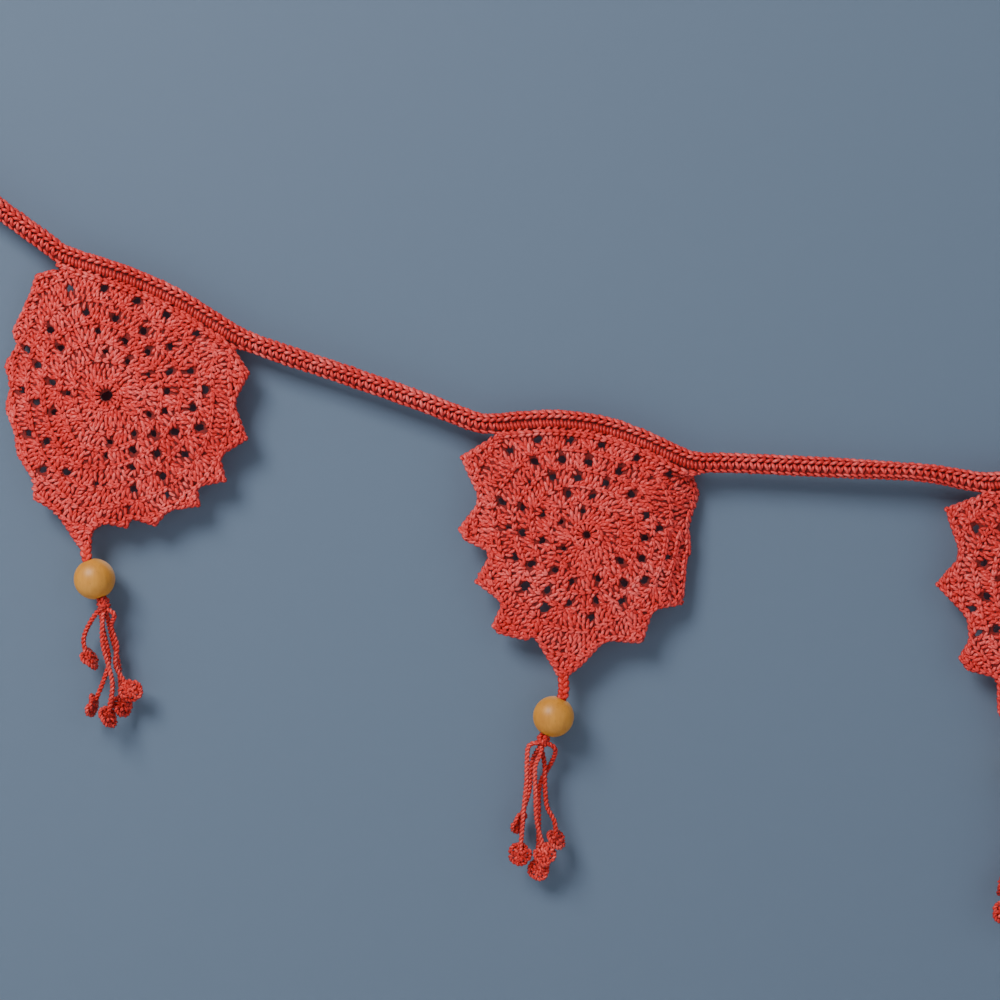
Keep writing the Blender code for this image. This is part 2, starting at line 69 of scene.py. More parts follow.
SHEET_BULGE = 3.0  # how far a pennant's middle comes forward
TIP_BEND = 0.45  # sine of the turn past which a corner of the edge is a tip
NOTCH_BEND = -0.15  # and past which it is a notch between two tips
EDGE_REACH = 50.0
EDGE_SPREAD = (-14, -7, 0, 7, 14)
CORNER_CUT = 0.22  # share of a side that is cut off at each corner of the cloth's edge
POINT_CUT = 0.14  # the same for the line of the rim, whose points are sharper
GROUND_THICKNESS = 1.0
GROUND_INSET = 0.9  # from a pennant's edge to its ground's edge
GROUND_SPACING = 3.5

YARN = 0.74  # radius
POST_WIDTH = 2.5
POST_TURN = 5.4  # height of one turn of a post's two strands
RIM = 0.8  # from a pennant's free edge to the middle of its rim
HAND = 0.78  # share of the posts that twist the usual way
POST_POINTS = 8  # along each strand of a post
SHORT_POINTS = 5  # along each short stitch

EYE_LENGTH = 15.0
EYE_WIDTH = 9.0
EYE_CORD = 3.0

BEAD_DIAMETER = 16.4
BEAD_BORE = 4.6
NECK_PROUD = 0.4
TASSEL_HEAD_RADIUS = 2.6
TASSEL_HEAD_FLATNESS = 0.8
STRAND_PLY = 0.6
ROSETTE_RADIUS = 5.2

WALL_Y = 10.6
FLOOR_Z = -420.0

# Middle line of the band: x, z and how far its face turns round it.
BAND_ROUTE = [
    (14.5, -11.2, 10),
    (30.0, -23.4, 15),
    (50.0, -37.8, 5),
    (56.0, -42.0, 0),
    (70.0, -46.6, 0),
    (86.0, -52.2, 0),
    (102.0, -59.9, 0),
    (116.0, -68.6, 0),
    (128.0, -75.8, 5),
    (146.8, -82.7, 15),
    (158.8, -86.7, 22),
    (171.2, -90.9, 15),
    (195.6, -99.3, 5),
    (214.0, -106.3, 0),
    (224.0, -109.4, 0),
    (238.0, -108.6, 0),
    (252.0, -107.9, 0),
    (270.0, -110.0, 0),
    (286.0, -115.2, 0),
    (300.0, -121.6, 0),
    (309.0, -124.8, 0),
    (326.0, -125.3, -5),
    (356.8, -126.8, -10),
    (387.2, -128.5, -42),
    (404.0, -129.8, -38),
    (420.0, -132.6, -5),
    (430.0, -132.6, 0),
    (444.0, -130.8, 0),
    (458.0, -129.8, 0),
    (474.0, -130.4, 0),
    (488.0, -132.6, 0),
    (502.0, -135.4, 0),
    (514.0, -134.4, 8),
    (528.0, -131.0, 12),
    (540.0, -127.6, 8),
]

# Free edge of each pennant from where the band leaves it on the left, down, round the tip and up on the
# right: x and z from the pennant's centre.
EDGE_1 = [
    (-20.8, 50.6),
    (-29.2, 48.6),
    (-31.2, 41.6),
    (-35.6, 32.6),
    (-39.2, 26.6),
    (-36.8, 20.4),
    (-42.8, 12.4),
    (-39.6, 4.4),
    (-42.2, -4.6),
    (-37.6, -15.6),
    (-36.8, -23.6),
    (-29.8, -33.6),
    (-29.8, -41.2),
    (-20.8, -46.4),
    (-12.2, -59.4),
    (-10.6, -61.0),
    (-7.0, -61.0),
    (-6.4, -54.0),
    (-1.6, -50.8),
    (7.6, -52.8),
    (9.6, -49.0),
    (19.0, -52.0),
    (24.4, -45.6),
    (36.6, -44.0),
    (35.8, -36.2),
    (47.2, -34.0),
    (44.8, -24.0),
    (55.8, -17.2),
    (50.4, -2.6),
    (56.6, 9.2),
    (50.2, 19.0),
]
EDGE_2 = [
    (-40.0, 37.6),
    (-50.4, 31.2),
    (-42.4, 13.8),
    (-51.2, 2.4),
    (-48.6, -2.0),
    (-38.0, -7.2),
    (-44.6, -18.8),
    (-33.4, -27.0),
    (-37.8, -36.4),
    (-35.2, -39.4),
    (-24.2, -42.0),
    (-21.0, -40.4),
    (-13.0, -53.4),
    (-11.8, -56.0),
    (-6.8, -56.0),
    (-1.4, -51.6),
    (7.4, -42.0),
    (20.6, -43.2),
    (22.6, -42.4),
    (26.6, -29.6),
    (38.8, -27.8),
    (40.2, -10.0),
    (42.0, -6.8),
    (41.0, 4.6),
    (45.6, 16.0),
    (42.6, 24.2),
]
EDGE_3 = [
    (-36.0, 36.8),
    (-48.0, 32.2),
    (-41.6, 13.4),
    (-51.6, 1.8),
    (-39.2, -11.2),
    (-38.2, -20.4),
    (-42.4, -27.6),
    (-39.0, -32.4),
    (-27.2, -35.6),
    (-26.8, -49.2),
    (-19.6, -60.6),
    (-14.6, -60.6),
    (-8.4, -53.2),
    (0.8, -46.6),
    (13.8, -50.0),
    (15.8, -39.6),
    (30.8, -37.2),
    (30.4, -26.0),
    (43.0, -20.8),
    (38.8, -9.0),
    (50.0, -0.6),
    (43.6, 9.8),
    (51.0, 20.4),
    (46.0, 33.6),
]

# Gaps between the stitches, ring by ring: share of the way from the pennant's centre to its edge, the
# gap's radius, and the angles at which the ring has one.
GAPS_1 = [
    (0.0, 2.3, [0]),
    (0.37, 1.2, [-87, -1, 31, 64, 114, 144, 176]),
    (0.53, 1.5, [-107, -76, -44, -7, 18, 43, 69]),
    (0.48, 1.6, [86, 105, 129, 154, 179]),
    (0.69, 1.7, [-152, -127, -95, -66, -41, -14, 6, 29, 52, 73, 98]),
    (0.61, 1.8, [118, 139, 160, -178]),
    (0.83, 1.7, [-139, -115, -86, -60]),
    (0.91, 1.7, [-19, -2, 17, 36, 55]),
    (0.78, 1.8, [86, 109, 127, 145, 164]),
    (0.7, 1.7, [-174]),
    (0.92, 1.3, [149, 168]),
]
GAPS_2 = [
    (0.0, 1.4, [0]),
    (0.23, 1.1, [-120, -63, -9]),
    (0.39, 1.4, [-162, -138, -97, -64, -24, 9, 127, 165]),
    (0.55, 1.7, [-165, -144, -118, -88, -66, -30, -9, 20, 48, 72, 93, 113, 142, 171]),
    (0.61, 1.5, [-48]),
    (0.67, 2.3, [-150, -130]),
    (0.67, 1.7, [-107, -86, 85, 128, 152, 177]),
    (0.72, 1.8, [-68, -35, -18, 2, 27, 49]),
    (0.78, 1.5, [105]),
    (0.91, 1.6, [-42, -27, -10, 10, 33, 54]),
]
GAPS_3 = [
    (0.0, 1.8, [0]),
    (0.38, 1.3, [-147, -116, -85, -54, -23, 8, 39, 70, 101, 132, 163]),
    (0.54, 1.6, [-132, -107, -82, -58, -34, -10, 14, 38, 62, 87, 112, 137, 162]),
    (0.7, 1.7, [-142, -120, -95, -72, -45, -22, 0, 24, 48, 72, 98, 124, 146, 168]),
    (0.86, 1.6, [-117, -102, -56, -35, -14, 8, 30]),
]

# Each pennant: its centre's x and z, the stretch of the band it hangs from as two x values, its edge and
# gaps, and how it curls back: towards which angle, from how far out, and how deep at the edge.
PENNANTS = [
    {
        "centre": (73.6, -98.4), "hangs": (55.0, 126.0), "edge": EDGE_1, "gaps": GAPS_1,
        "curl_angle": 272, "curl_from": 20.0, "curl_depth": 8.0,
    },
    {
        "centre": (265.0, -154.0), "hangs": (227.0, 309.0), "edge": EDGE_2, "gaps": GAPS_2,
        "curl_angle": 92, "curl_from": 24.0, "curl_depth": 8.0,
    },
    {
        "centre": (456.4, -175.6), "hangs": (422.0, 502.0), "edge": EDGE_3, "gaps": GAPS_3,
        "curl_angle": 105, "curl_from": 30.0, "curl_depth": 4.0,
    },
]

# Each drop: the neck's top, the bead's centre, how far its lower end leans to the right, and the strands.
# A strand is how its end's rosette is turned round Z and round Y, and its points below the tassel's head:
# x and z from the bead's centre, and y behind the middle plane.
STRANDS_1 = [
    ((70, -35), [
        (0.6, -13.6, 1.2), (-3.6, -20.6, 1.6), (-4.6, -26.0, 1.8), (-2.2, -32.0, 2.2),
    ]),
    ((65, -20), [
        (3.4, -17.0, -1.2), (3.6, -26.0, -1.6), (6.0, -35.0, -1.6), (7.4, -43.0, -1.2), (5.5, -55.0, -1.2),
    ]),
    ((10, 20), [
        (8.0, -14.0, -1.2), (6.4, -19.0, 2.0), (8.6, -27.0, 2.6), (8.2, -35.0, 2.2), (14.4, -44.8, 0.4),
    ]),
    ((75, 5), [
        (2.6, -20.0, 4.6), (5.0, -32.0, 5.0), (3.4, -40.0, 3.4), (-0.8, -51.0, 1.4),
    ]),
    ((50, -10), [
        (5.6, -22.0, 6.2), (8.6, -34.0, 6.4), (9.8, -44.0, 4.4), (10.6, -51.0, 3.6),
    ]),
]
STRANDS_2 = [
    ((10, 0), [
        (-9.6, -11.4, -0.6), (-10.6, -18.0, -1.0), (-10.8, -26.0, -1.2), (-11.8, -36.0, -1.2),
        (-13.4, -54.8, -1.8),
    ]),
    ((-15, 20), [
        (-5.2, -14.6, -1.8), (-7.4, -20.0, -2.0), (-7.2, -30.0, -2.0), (-6.6, -42.0, -2.0),
        (-3.4, -54.6, -1.6),
    ]),
    ((55, -45), [
        (-3.6, -19.0, 1.0), (-3.4, -28.0, 0.6), (-2.6, -36.0, 0.4), (0.4, -42.0, 0.0), (1.0, -49.0, 0.0),
    ]),
    ((0, 80), [
        (0.4, -12.6, 0.0), (-0.4, -18.0, 3.4), (-5.4, -28.0, 5.0), (-5.8, -42.0, 5.2), (-6.0, -61.4, 2.2),
    ]),
    ((60, 15), [
        (-8.4, -18.0, 4.4), (-9.6, -30.0, 5.4), (-12.0, -38.0, 4.6), (-13.4, -43.0, 3.2),
    ]),
]
STRANDS_3 = [
    ((15, 0), [
        (-5.0, -12.6, -0.6), (-6.4, -22.0, -1.2), (-6.2, -34.0, -1.2), (-7.6, -46.0, -1.4),
        (-9.4, -54.0, -1.8),
    ]),
    ((-20, 20), [
        (0.2, -18.0, -2.0), (-0.6, -30.0, -2.2), (0.8, -42.0, -2.0), (1.8, -50.0, -1.8),
    ]),
    ((50, -40), [
        (5.2, -14.0, 0.8), (4.4, -24.0, 0.6), (5.8, -34.0, 0.4), (9.4, -43.0, 0.2),
    ]),
    ((0, 75), [
        (1.6, -20.0, 4.4), (-1.6, -34.0, 5.2), (-3.2, -48.0, 4.6), (-2.6, -60.0, 2.6),
    ]),
    ((60, 15), [
        (-3.0, -20.0, 5.0), (-3.8, -32.0, 5.6), (-6.4, -40.0, 5.0), (-8.6, -43.4, 3.4),
    ]),
]
DROPS = [
    {"top": (64.8, -159.7), "bead": (68.2, -171.6), "lean": 20, "strands": STRANDS_1},
    {"top": (255.7, -210.3), "bead": (251.8, -226.6), "lean": -25, "strands": STRANDS_2},
    {"top": (439.2, -236.5), "bead": (440.6, -250.6), "lean": 6, "strands": STRANDS_3},
]

# Rings of gaps: below each share of the way to the edge, a gap belongs to that ring.
RING_LIMITS = [0.3, 0.45, 0.58, 0.75, 0.915]
RING_SHARES = [0.23, 0.38, 0.53, 0.69, 0.87]
CENTRE_RING = 5.8


def direction(angle):
    turn = np.radians(angle)
    return np.stack([np.sin(turn), np.cos(turn)], -1)


def unit(vectors):
    return vectors / np.maximum(np.linalg.norm(vectors, axis=-1, keepdims=True), 1e-9)


def catmull_rom(rows, step):
    """Rows of numbers along a smooth curve through the given rows, about step apart in their first two."""
    rows = [np.array(row, float) for row in rows]
    ends = [rows[0] * 2 - rows[1], *rows, rows[-1] * 2 - rows[-2]]
    out = []
    for before, start, end, after in zip(ends, ends[1:], ends[2:], ends[3:]):
        pieces = max(1, round(math.hypot(*(end - start)[:2]) / step))
        for i in range(pieces):
            t = i / pieces
            out.append(
                0.5 * (
                    2 * start
                    + (end - before) * t
                    + (2 * before - 5 * start + 4 * end - after) * t ** 2
                    + (3 * start - before - 3 * end + after) * t ** 3
                )
            )
    return np.array([*out, rows[-1]])


def lengths_along(points):
    return np.concatenate([[0.0], np.cumsum(np.linalg.norm(np.diff(points, axis=0), axis=1))])


def resampled(points, step):
    """The same polyline with its points evenly about step apart."""
    along = lengths_along(points)
    wanted = np.linspace(0, along[-1], max(2, round(along[-1] / step) + 1))
    return np.stack([np.interp(wanted, along, points[:, i]) for i in range(points.shape[1])], -1)


class Yarn:
    """Collects many lengths of yarn and makes one mesh of them."""

    def __init__(self, sides=6):
        self.sides = sides
        self.points = []
        self.maps = []
        self.tones_and_shade = []
        self.quads = []
        self.caps = []
        self.count = 0

    def add(self, paths, radii, tones_and_shade=None):
        """paths has a length of yarn in each row. radii is one number, or one for each of a path's points."""
        paths = np.asarray(paths, float)
        if paths.ndim == 2:
            paths = paths[None]
        many, long = paths.shape[:2]
        radii = np.broadcast_to(np.asarray(radii, float), (many, long))
        tones_and_shade = chance.uniform(0, 1, many) if tones_and_shade is None else np.broadcast_to(tones_and_shade, many)
        tangents = unit(np.gradient(paths, axis=1))
        normals = np.empty_like(paths)
        normals[:, 0] = unit(np.cross(tangents[:, 0], [0.31, 0.9, 0.2]))
        for i in range(1, long):
            carried = normals[:, i - 1]
            carried = carried - tangents[:, i] * np.sum(carried * tangents[:, i], -1, keepdims=True)
            normals[:, i] = unit(carried)
        sideways = np.cross(tangents, normals)
        turns = np.arange(self.sides) * 2 * math.pi / self.sides
        ring = (
            np.cos(turns)[:, None] * normals[:, :, None]
            + np.sin(turns)[:, None] * sideways[:, :, None]
        )
        points = paths[:, :, None] + ring * radii[:, :, None, None]
        steps = np.linalg.norm(np.diff(paths, axis=1), axis=-1)
        along = np.concatenate([np.zeros((many, 1)), np.cumsum(steps, 1)], 1)
        grid = self.count + np.arange(many * long * self.sides).reshape(many, long, self.sides)
        after = np.roll(grid, -1, 2)
        quads = np.stack([grid[:, :-1], after[:, :-1], after[:, 1:], grid[:, 1:]], -1)
        low = np.broadcast_to(along[:, :-1, None], quads.shape[:3])
        high = np.broadcast_to(along[:, 1:, None], quads.shape[:3])
        left = np.broadcast_to(np.arange(self.sides) / self.sides, quads.shape[:3])
        right = left + 1 / self.sides
        corners = [(low, left), (low, right), (high, right), (high, left)]
        maps = np.stack([np.stack(corner, -1) for corner in corners], -2)
        self.points.append(points.reshape(-1, 3))
        self.tones_and_shade.append(np.repeat(tones_and_shade, long * self.sides))
        self.quads.append(quads.reshape(-1, 4))
        self.maps.append(maps.reshape(-1, 4, 2))
        self.caps.append(np.concatenate([grid[:, 0, ::-1], grid[:, -1]]))
        self.count += many * long * self.sides

    def build(self, name, material, slot):
        points = np.concatenate(self.points) * MM
        quads = np.concatenate(self.quads)
        caps = np.concatenate(self.caps)
        corners = np.concatenate([quads.ravel(), caps.ravel()])
        starts = np.concatenate([
            np.arange(len(quads)) * 4,
            quads.size + np.arange(len(caps)) * self.sides,
        ])
        mesh = bpy.data.meshes.new(name)
        mesh.vertices.add(len(points))
        mesh.vertices.foreach_set("co", points.ravel())
        mesh.loops.add(len(corners))
        mesh.loops.foreach_set("vertex_index", corners.astype(np.int32))
        mesh.polygons.add(len(starts))
        mesh.polygons.foreach_set("loop_start", starts.astype(np.int32))
        mesh.update(calc_edges=True)
        flat = np.zeros((len(corners), 2))
        flat[: quads.size] = np.concatenate(self.maps).reshape(-1, 2)
        mesh.uv_layers.new(name="yarn").data.foreach_set("uv", flat.ravel())
        tone_and_shade = mesh.attributes.new("tone_and_shade", "FLOAT", "POINT")
        tone_and_shade.data.foreach_set("value", np.concatenate(self.tones_and_shade))
        mesh.shade_smooth()
        mesh.validate()
        return add_piece(name, mesh, material)


def add_piece(name, mesh, material):
    piece = bpy.data.objects.new(name, mesh)
    bpy.context.scene.collection.objects.link(piece)
    mesh.materials.append(material)
    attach(piece, ROOT)
    return piece


class Route:
    """The band's middle line, measured along its length, with its turn about itself."""

    def __init__(self, rows):
        self.rows = catmull_rom(rows, 1.0)
        self.along = lengths_along(self.rows[:, :2])
        self.length = self.along[-1]
        self.tangents = unit(np.gradient(self.rows[:, :2], self.along, axis=0))

    def place(self, along, up, out):
        """Points at a length along the band, a height up across it, and a height out of its face."""
        x, z, turn = (np.interp(along, self.along, self.rows[:, i]) for i in range(3))
        run, rise = (np.interp(along, self.along, self.tangents[:, i]) for i in range(2))
        turn = np.radians(turn)
        lift = up * np.cos(turn) - out * np.sin(turn)
        depth = up * np.sin(turn) + out * np.cos(turn)
        return np.stack([x - rise * lift, -depth, z + run * lift], -1)

    def at(self, x):
        """The length along the band at which it reaches x."""
        return np.interp(x, self.rows[:, 0], self.along)


def arcs(starts, ends, rise, radius, steps=7, thin=0.5):
    """Short arcs of yarn in the band's own measures, each out from its start and back in at its end."""
    share = np.linspace(0, 1, steps)
    swell = np.sin(np.pi * share)
    starts, ends = (np.stack(np.broadcast_arrays(*point), -1)[:, None] for point in (starts, ends))
    paths = starts + (ends - starts) * share[:, None]
    paths[..., 2] += np.multiply.outer(np.broadcast_to(rise, len(paths)), swell)
    radii = np.multiply.outer(np.broadcast_to(radius, len(paths)), thin + (1 - thin) * swell ** 0.7)
    return paths, radii


def band_stitches(route, spans):
    """The rows of the band: a chain of V along its top, posts below it, and its lower edge.

    Over a pennant the posts lie deeper and take painted shade, a lower tone, and a second chain joins the
    band to the pennant.
    """
    yarn = Yarn()
    count = int((route.length - 3.5) / BAND_PITCH)
    begin = np.arange(count) * BAND_PITCH + 0.2

    def over(along):
        near = np.zeros_like(along)
        for low, high in spans:
            near = np.maximum(near, np.clip(np.minimum(along - low, high - along) / 5 + 0.4, 0, 1))
        return near

    for side in (1, -1):
        start = begin if side == 1 else begin + BAND_PITCH / 2
        here = over(start)
        small = chance.normal(0, 0.12, (9, len(start)))
        deep = 0.8 - 0.35 * here
        rows = [
            (0, arcs((start, 3.75 + small[0], 0.5), (start + 3.7, 2.3 + small[8], 1.1), 0.75, 0.76)),
            (0, arcs((start + 0.2, 0.8 + small[1], 0.9), (start + 3.8, 2.1, 1.15), 0.85, 0.76)),
            (0.8, arcs(
                (start + 0.2 + small[2], 0.7, deep),
                (start + 2.0 - 0.8 * here, -2.5 - 0.6 * here + small[3], deep),
                0.85 - 0.55 * here,
                0.78 - 0.04 * here,
            )),
            (0.8, arcs(
                (start + 2.9 - 1.2 * here + small[7] * here, 0.5, deep - 0.25),
                (start + 1.7 + 1.0 * here + small[4], -2.6 - 0.5 * here, deep - 0.25),
                0.7 - 0.4 * here,
                0.62 + 0.1 * here,
            )),
            (0, arcs(
                (start + 0.1, -2.8 - 1.2 * here, 0.5 + 0.5 * here),
                (start + 3.1, -3.75 - 1.15 * here + small[5], 0.2 + 1.0 * here),
                0.55 + 0.25 * here,
                0.62 + 0.14 * here,
            )),
            (0, arcs(
                (start + 1.6 - 1.6 * here, -1.9 - 4.1 * here, 0.9 * here),
                (start + 2.7 + 0.3 * here + small[6], -3.6 - 1.6 * here, 1.1 * here),
                0.3 + 0.5 * here,
                0.5 + 0.24 * here,
            )),
        ]
        # The first number of each row is its painted shade: over a pennant it lowers the tone, which darkens
        # the posts where they lie deeper.
        for shaded, (paths, radii) in rows:
            placed = route.place(paths[..., 0], paths[..., 1], paths[..., 2] * side)
            yarn.add(placed, radii, chance.uniform(0, 1, len(start)) - shaded * here)
    return yarn


def section_loft(name, rings, material):
    """A closed mesh through rings of points, each with as many points, with flat ends."""
    rings = np.asarray(rings)
    many, around = rings.shape[:2]
    grid = np.arange(many * around).reshape(many, around)
    after = np.roll(grid, -1, 1)
    faces = np.stack([grid[:-1], after[:-1], after[1:], grid[1:]], -1).reshape(-1, 4).tolist()
    faces += [grid[0, ::-1].tolist(), grid[-1].tolist()]
    mesh = bpy.data.meshes.new(name)
    mesh.from_pydata((rings.reshape(-1, 3) * MM).tolist(), [], faces)
    mesh.shade_smooth()
    return add_piece(name, mesh, material)


def make_band(route, spans):
    along = np.arange(0.4, route.length, 1.5)
    turns = np.arange(12) * 2 * math.pi / 12
    half_width, half_thick = BAND_CORE
    rings = route.place(
        along[:, None],
        half_width * np.cos(turns)[None, :] - 0.2,
        half_thick * np.sin(turns)[None, :],
    )
    core = section_loft("band_core", rings, ground_material)
    stitches = band_stitches(route, spans).build("band_stitches", yarn_material, "coral_cotton")
    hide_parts("band")


def twist(middle, ply_radius, spread, pitch, plies=2, begin=0.0):
    """The plies of a twisted cord along a path of points. spread is from its middle to a ply's middle."""
    along = lengths_along(middle)
    tangents = unit(np.gradient(middle, axis=0))
    normals = np.empty_like(middle)
    normals[0] = unit(np.cross(tangents[0], [0.1, 1.0, 0.05]))
    for i in range(1, len(middle)):
        normals[i] = unit(normals[i - 1] - tangents[i] * np.dot(normals[i - 1], tangents[i]))
    sideways = np.cross(tangents, normals)
    paths = []
    for ply in range(plies):
        turn = (begin + along / pitch + ply / plies) * 2 * math.pi
        paths.append(
            middle
            + normals * (np.cos(turn) * spread)[:, None]
            + sideways * (np.sin(turn) * spread)[:, None]
        )
    return np.array(paths), ply_radius


def make_eye(name, band_end, outward):
    """A loop of twisted cord past the band's end."""
    outward = np.array(outward)
    up = np.array([-outward[1], outward[0]])
    centre = band_end + outward * (GAP + EYE_CORD + EYE_LENGTH / 2)
    round_radius = (EYE_WIDTH + EYE_CORD) / 2
    straight = (EYE_LENGTH + EYE_CORD) / 2 - round_radius
    turns = np.linspace(-math.pi / 2, math.pi / 2, 13)
    points = np.stack([straight + round_radius * np.cos(turns), round_radius * np.sin(turns)], -1)
    points = np.concatenate([points, -points, points[:1]])
    flat = centre + points[:, :1] * outward + points[:, 1:] * up
    middle = resampled(np.stack([flat[:, 0], np.zeros(len(flat)), flat[:, 1]], -1), 0.6)
    yarn = Yarn()
    yarn.add(*twist(middle, 0.82, 0.72, lengths_along(middle)[-1] / 10, plies=3))
    piece = yarn.build(f"{name}_cord", yarn_material, "coral_cotton")
    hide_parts(name)


class Cloth:
    """A pennant's cloth: its outline, how far its edge is in each direction, and its depth."""

    def __init__(self, pennant, route):
        self.centre = np.array(pennant["centre"])
        self.curl = [pennant["curl_angle"], pennant["curl_from"], pennant["curl_depth"]]
        edge = np.array(pennant["edge"])
        self.free_edge = self.centre + self.cut_corners(edge, CORNER_CUT)
        self.points_edge = self.centre + self.cut_corners(edge, POINT_CUT)
        before, after = unit(edge[1:-1] - edge[:-2]), unit(edge[2:] - edge[1:-1])
        bends = before[:, 0] * after[:, 1] - before[:, 1] * after[:, 0]
        hollows = edge[1:-1][bends < NOTCH_BEND]
        angles = np.degrees(np.arctan2(hollows[:, 0], hollows[:, 1]))
        blank = np.zeros(len(hollows))
        self.notches = np.stack([blank + 5, angles, np.linalg.norm(hollows, axis=1), blank], -1)
        toward = unit(before - after)
        self.tips = [
            (self.centre + tip, out)
            for tip, out, bend in zip(edge[1:-1], toward, bends)
            if bend > TIP_BEND
        ]
        low, high = pennant["hangs"]
        rows = catmull_rom(BAND_ROUTE, BAND_STEP)[:, :2]
        up = unit(np.gradient(rows, axis=0))
        up = np.stack([-up[:, 1], up[:, 0]], -1)
        under = rows - up * (BAND_WIDTH / 2 + GAP)
        self.top = under[(rows[:, 0] >= low) & (rows[:, 0] <= high)]
        self.outline = np.concatenate([self.free_edge, self.top[::-1]])
        self.toward = direction(self.curl[0])
        self.width = (edge @ self.toward).max()
        self.angles = np.arange(-180, 181)
        self.hits = np.array([self.hit(a) for a in self.angles])
        spread = [np.array([self.hit(a + s) for a in self.angles]) for s in EDGE_SPREAD]
        self.reaches = np.mean(spread, 0)

    @staticmethod
    def cut_corners(edge, share):
        """The edge with each corner but its ends cut by a share of the sides."""
        cut = []
        for a, b in zip(edge, edge[1:]):
            cut += [a + (b - a) * share, b + (a - b) * share]
        return np.array([edge[0], *cut[1:-1], edge[-1]])

    def under_band(self, angles):
        """Whether each angle, from -180 to 180, meets the band and not the free edge."""
        away = self.top[[0, -1]] - self.centre
        left, right = np.degrees(np.arctan2(away[:, 0], away[:, 1]))
        return (angles > left) & (angles < right)

    def hit(self, angle):
        """The distance to the outline at an angle."""
        ray = direction(angle)
        a = self.outline - self.centre
        b = np.roll(a, -1, 0)
        side_a = a[:, 0] * ray[1] - a[:, 1] * ray[0]
        side_b = b[:, 0] * ray[1] - b[:, 1] * ray[0]
        crossed = (side_a > 0) != (side_b > 0)
        share = side_a[crossed] / (side_a - side_b)[crossed]
        places = a[crossed] + (b - a)[crossed] * share[:, None]
        return (places @ ray).max()

    def reach_at(self, angle):
        """The smoothed distance to the outline at an angle."""
        return np.interp((np.asarray(angle) + 180) % 360 - 180, self.angles, self.reaches)

    def depth(self, x, z):
        """How far back the cloth's middle lies at x and z."""
        away = np.stack([x - self.centre[0], z - self.centre[1]], -1)
        angle = np.degrees(np.arctan2(away[..., 0], away[..., 1]))
        share = np.minimum(1.0, np.linalg.norm(away, axis=-1) / self.reach_at(angle))
        _, start, deep = self.curl
        beyond = np.maximum(0.0, away @ self.toward - start) / (self.width - start)
        return deep * beyond ** 2 - SHEET_BULGE * (1 - share ** 2)

    def lift(self, x, z, out):
        """Points at x and z, out in front of the cloth's middle along its own normal."""
        step = 0.5
        slope_x = (self.depth(x + step, z) - self.depth(x - step, z)) / (2 * step)
        slope_z = (self.depth(x, z + step) - self.depth(x, z - step)) / (2 * step)
        normal = unit(np.stack([slope_x, -np.ones_like(slope_x), slope_z], -1))
        flat = np.stack([x, self.depth(x, z), z], -1)
        return flat + normal * np.broadcast_to(out, x.shape)[..., None]

    def place(self, far, angle, aside, out):
        """Points at a distance and angle from the centre, aside clockwise and out of the face."""
        ray = direction(angle)
        x = self.centre[0] + far * ray[..., 0] + aside * ray[..., 1]
        z = self.centre[1] + far * ray[..., 1] - aside * ray[..., 0]
        return self.lift(x, z, out)

    def gaps(self, rows):
        """Each gap's ring, angle, distance and radius."""
        found = []
        for share, radius, angles in rows:
            ring = sum(share >= limit for limit in RING_LIMITS)
            for angle in angles:
                found.append((ring, angle, share * min(EDGE_REACH, float(self.reach_at(angle))), radius))
        return np.array(found)


def ring_lines(cloth, gaps):
    """The distance of each ring's middle at each whole angle, drawn through the ring's own gaps."""
    lines = []
    for ring, share in enumerate(RING_SHARES):
        plain = share * np.minimum(EDGE_REACH, cloth.reaches)
        own = gaps[(gaps[:, 0] == ring) & (gaps[:, 2] > 0)]
        weight = np.full(len(cloth.angles), 0.12)
        total = plain * weight
        for _, angle, far, _ in own:
            apart = (cloth.angles - angle + 180) % 360 - 180
            near = np.exp(-((apart / 15) ** 2))
            weight = weight + near
            total = total + near * far
        lines.append(total / weight)
    return lines


def fans(own, inner, radius):
    """Each post's foot angle, head angle and lift in a ring, in fans of about three.

    A fan stands between two gaps of its own ring, and leaves from the nearest gap of the ring inside.
    """
    spans = []
    order = own[np.argsort(own[:, 1])]
    for here, after in zip(order, np.roll(order, -1, 0)):
        apart = (after[1] - here[1]) % 360 or 360
        clear = [math.degrees((gap[3] * 0.6 + 1.05) / radius) for gap in (here, after)]
        spans.append((here[1] + clear[0], here[1] + apart - clear[1]))
    if not spans:
        spans = [(0.0, 360.0 - math.degrees(POST_WIDTH / radius))]
    feet, heads, lifts = [], [], []
    for start, end in spans:
        count = max(1, round(math.radians(end - start) * radius / POST_WIDTH) + 1)
        places = np.linspace(start, end, count) if count > 1 else np.array([(start + end) / 2])
        for group in np.array_split(places, max(1, round(count / 3))):
            middle = group.mean()
            half = (group[-1] - group[0]) / 2
            shift = 0.0
            if len(inner):
                apart = (inner[:, 1] - middle + 180) % 360 - 180
                nearest = apart[np.abs(apart).argmin()]
                shift = nearest * 0.75 if abs(nearest) < half + 5 else 0.0
            spread = chance.uniform(0.42, 0.66)
            rise = chance.uniform(-0.25, 0.3)
            feet += list(middle + shift + (group - middle) * spread)
            heads += list(group)
            lifts += list(rise + 0.25 * (1 - np.abs(group - middle) / max(half, 1)))
    return np.array(feet), np.array(heads), np.array(lifts)


def kept_inside(cloth, angles, low, high):
    """How far out each post reaches, where the rim along the free edge stops it."""
    steps = np.linspace(0, 1, 25)
    far = low[:, None] + (high - low)[:, None] * steps
    flat = (cloth.centre + direction(angles)[:, None] * far[..., None]).reshape(-1, 2)
    clear = inside(flat, cloth.outline) & (distance_to(flat, cloth.free_edge) > RIM + 0.6)
    count = np.cumprod(clear.reshape(far.shape), 1).sum(1)
    reached = low + (high - low) * np.maximum(count - 1, 0) / 24
    return np.where(cloth.under_band(angles), high, reached)


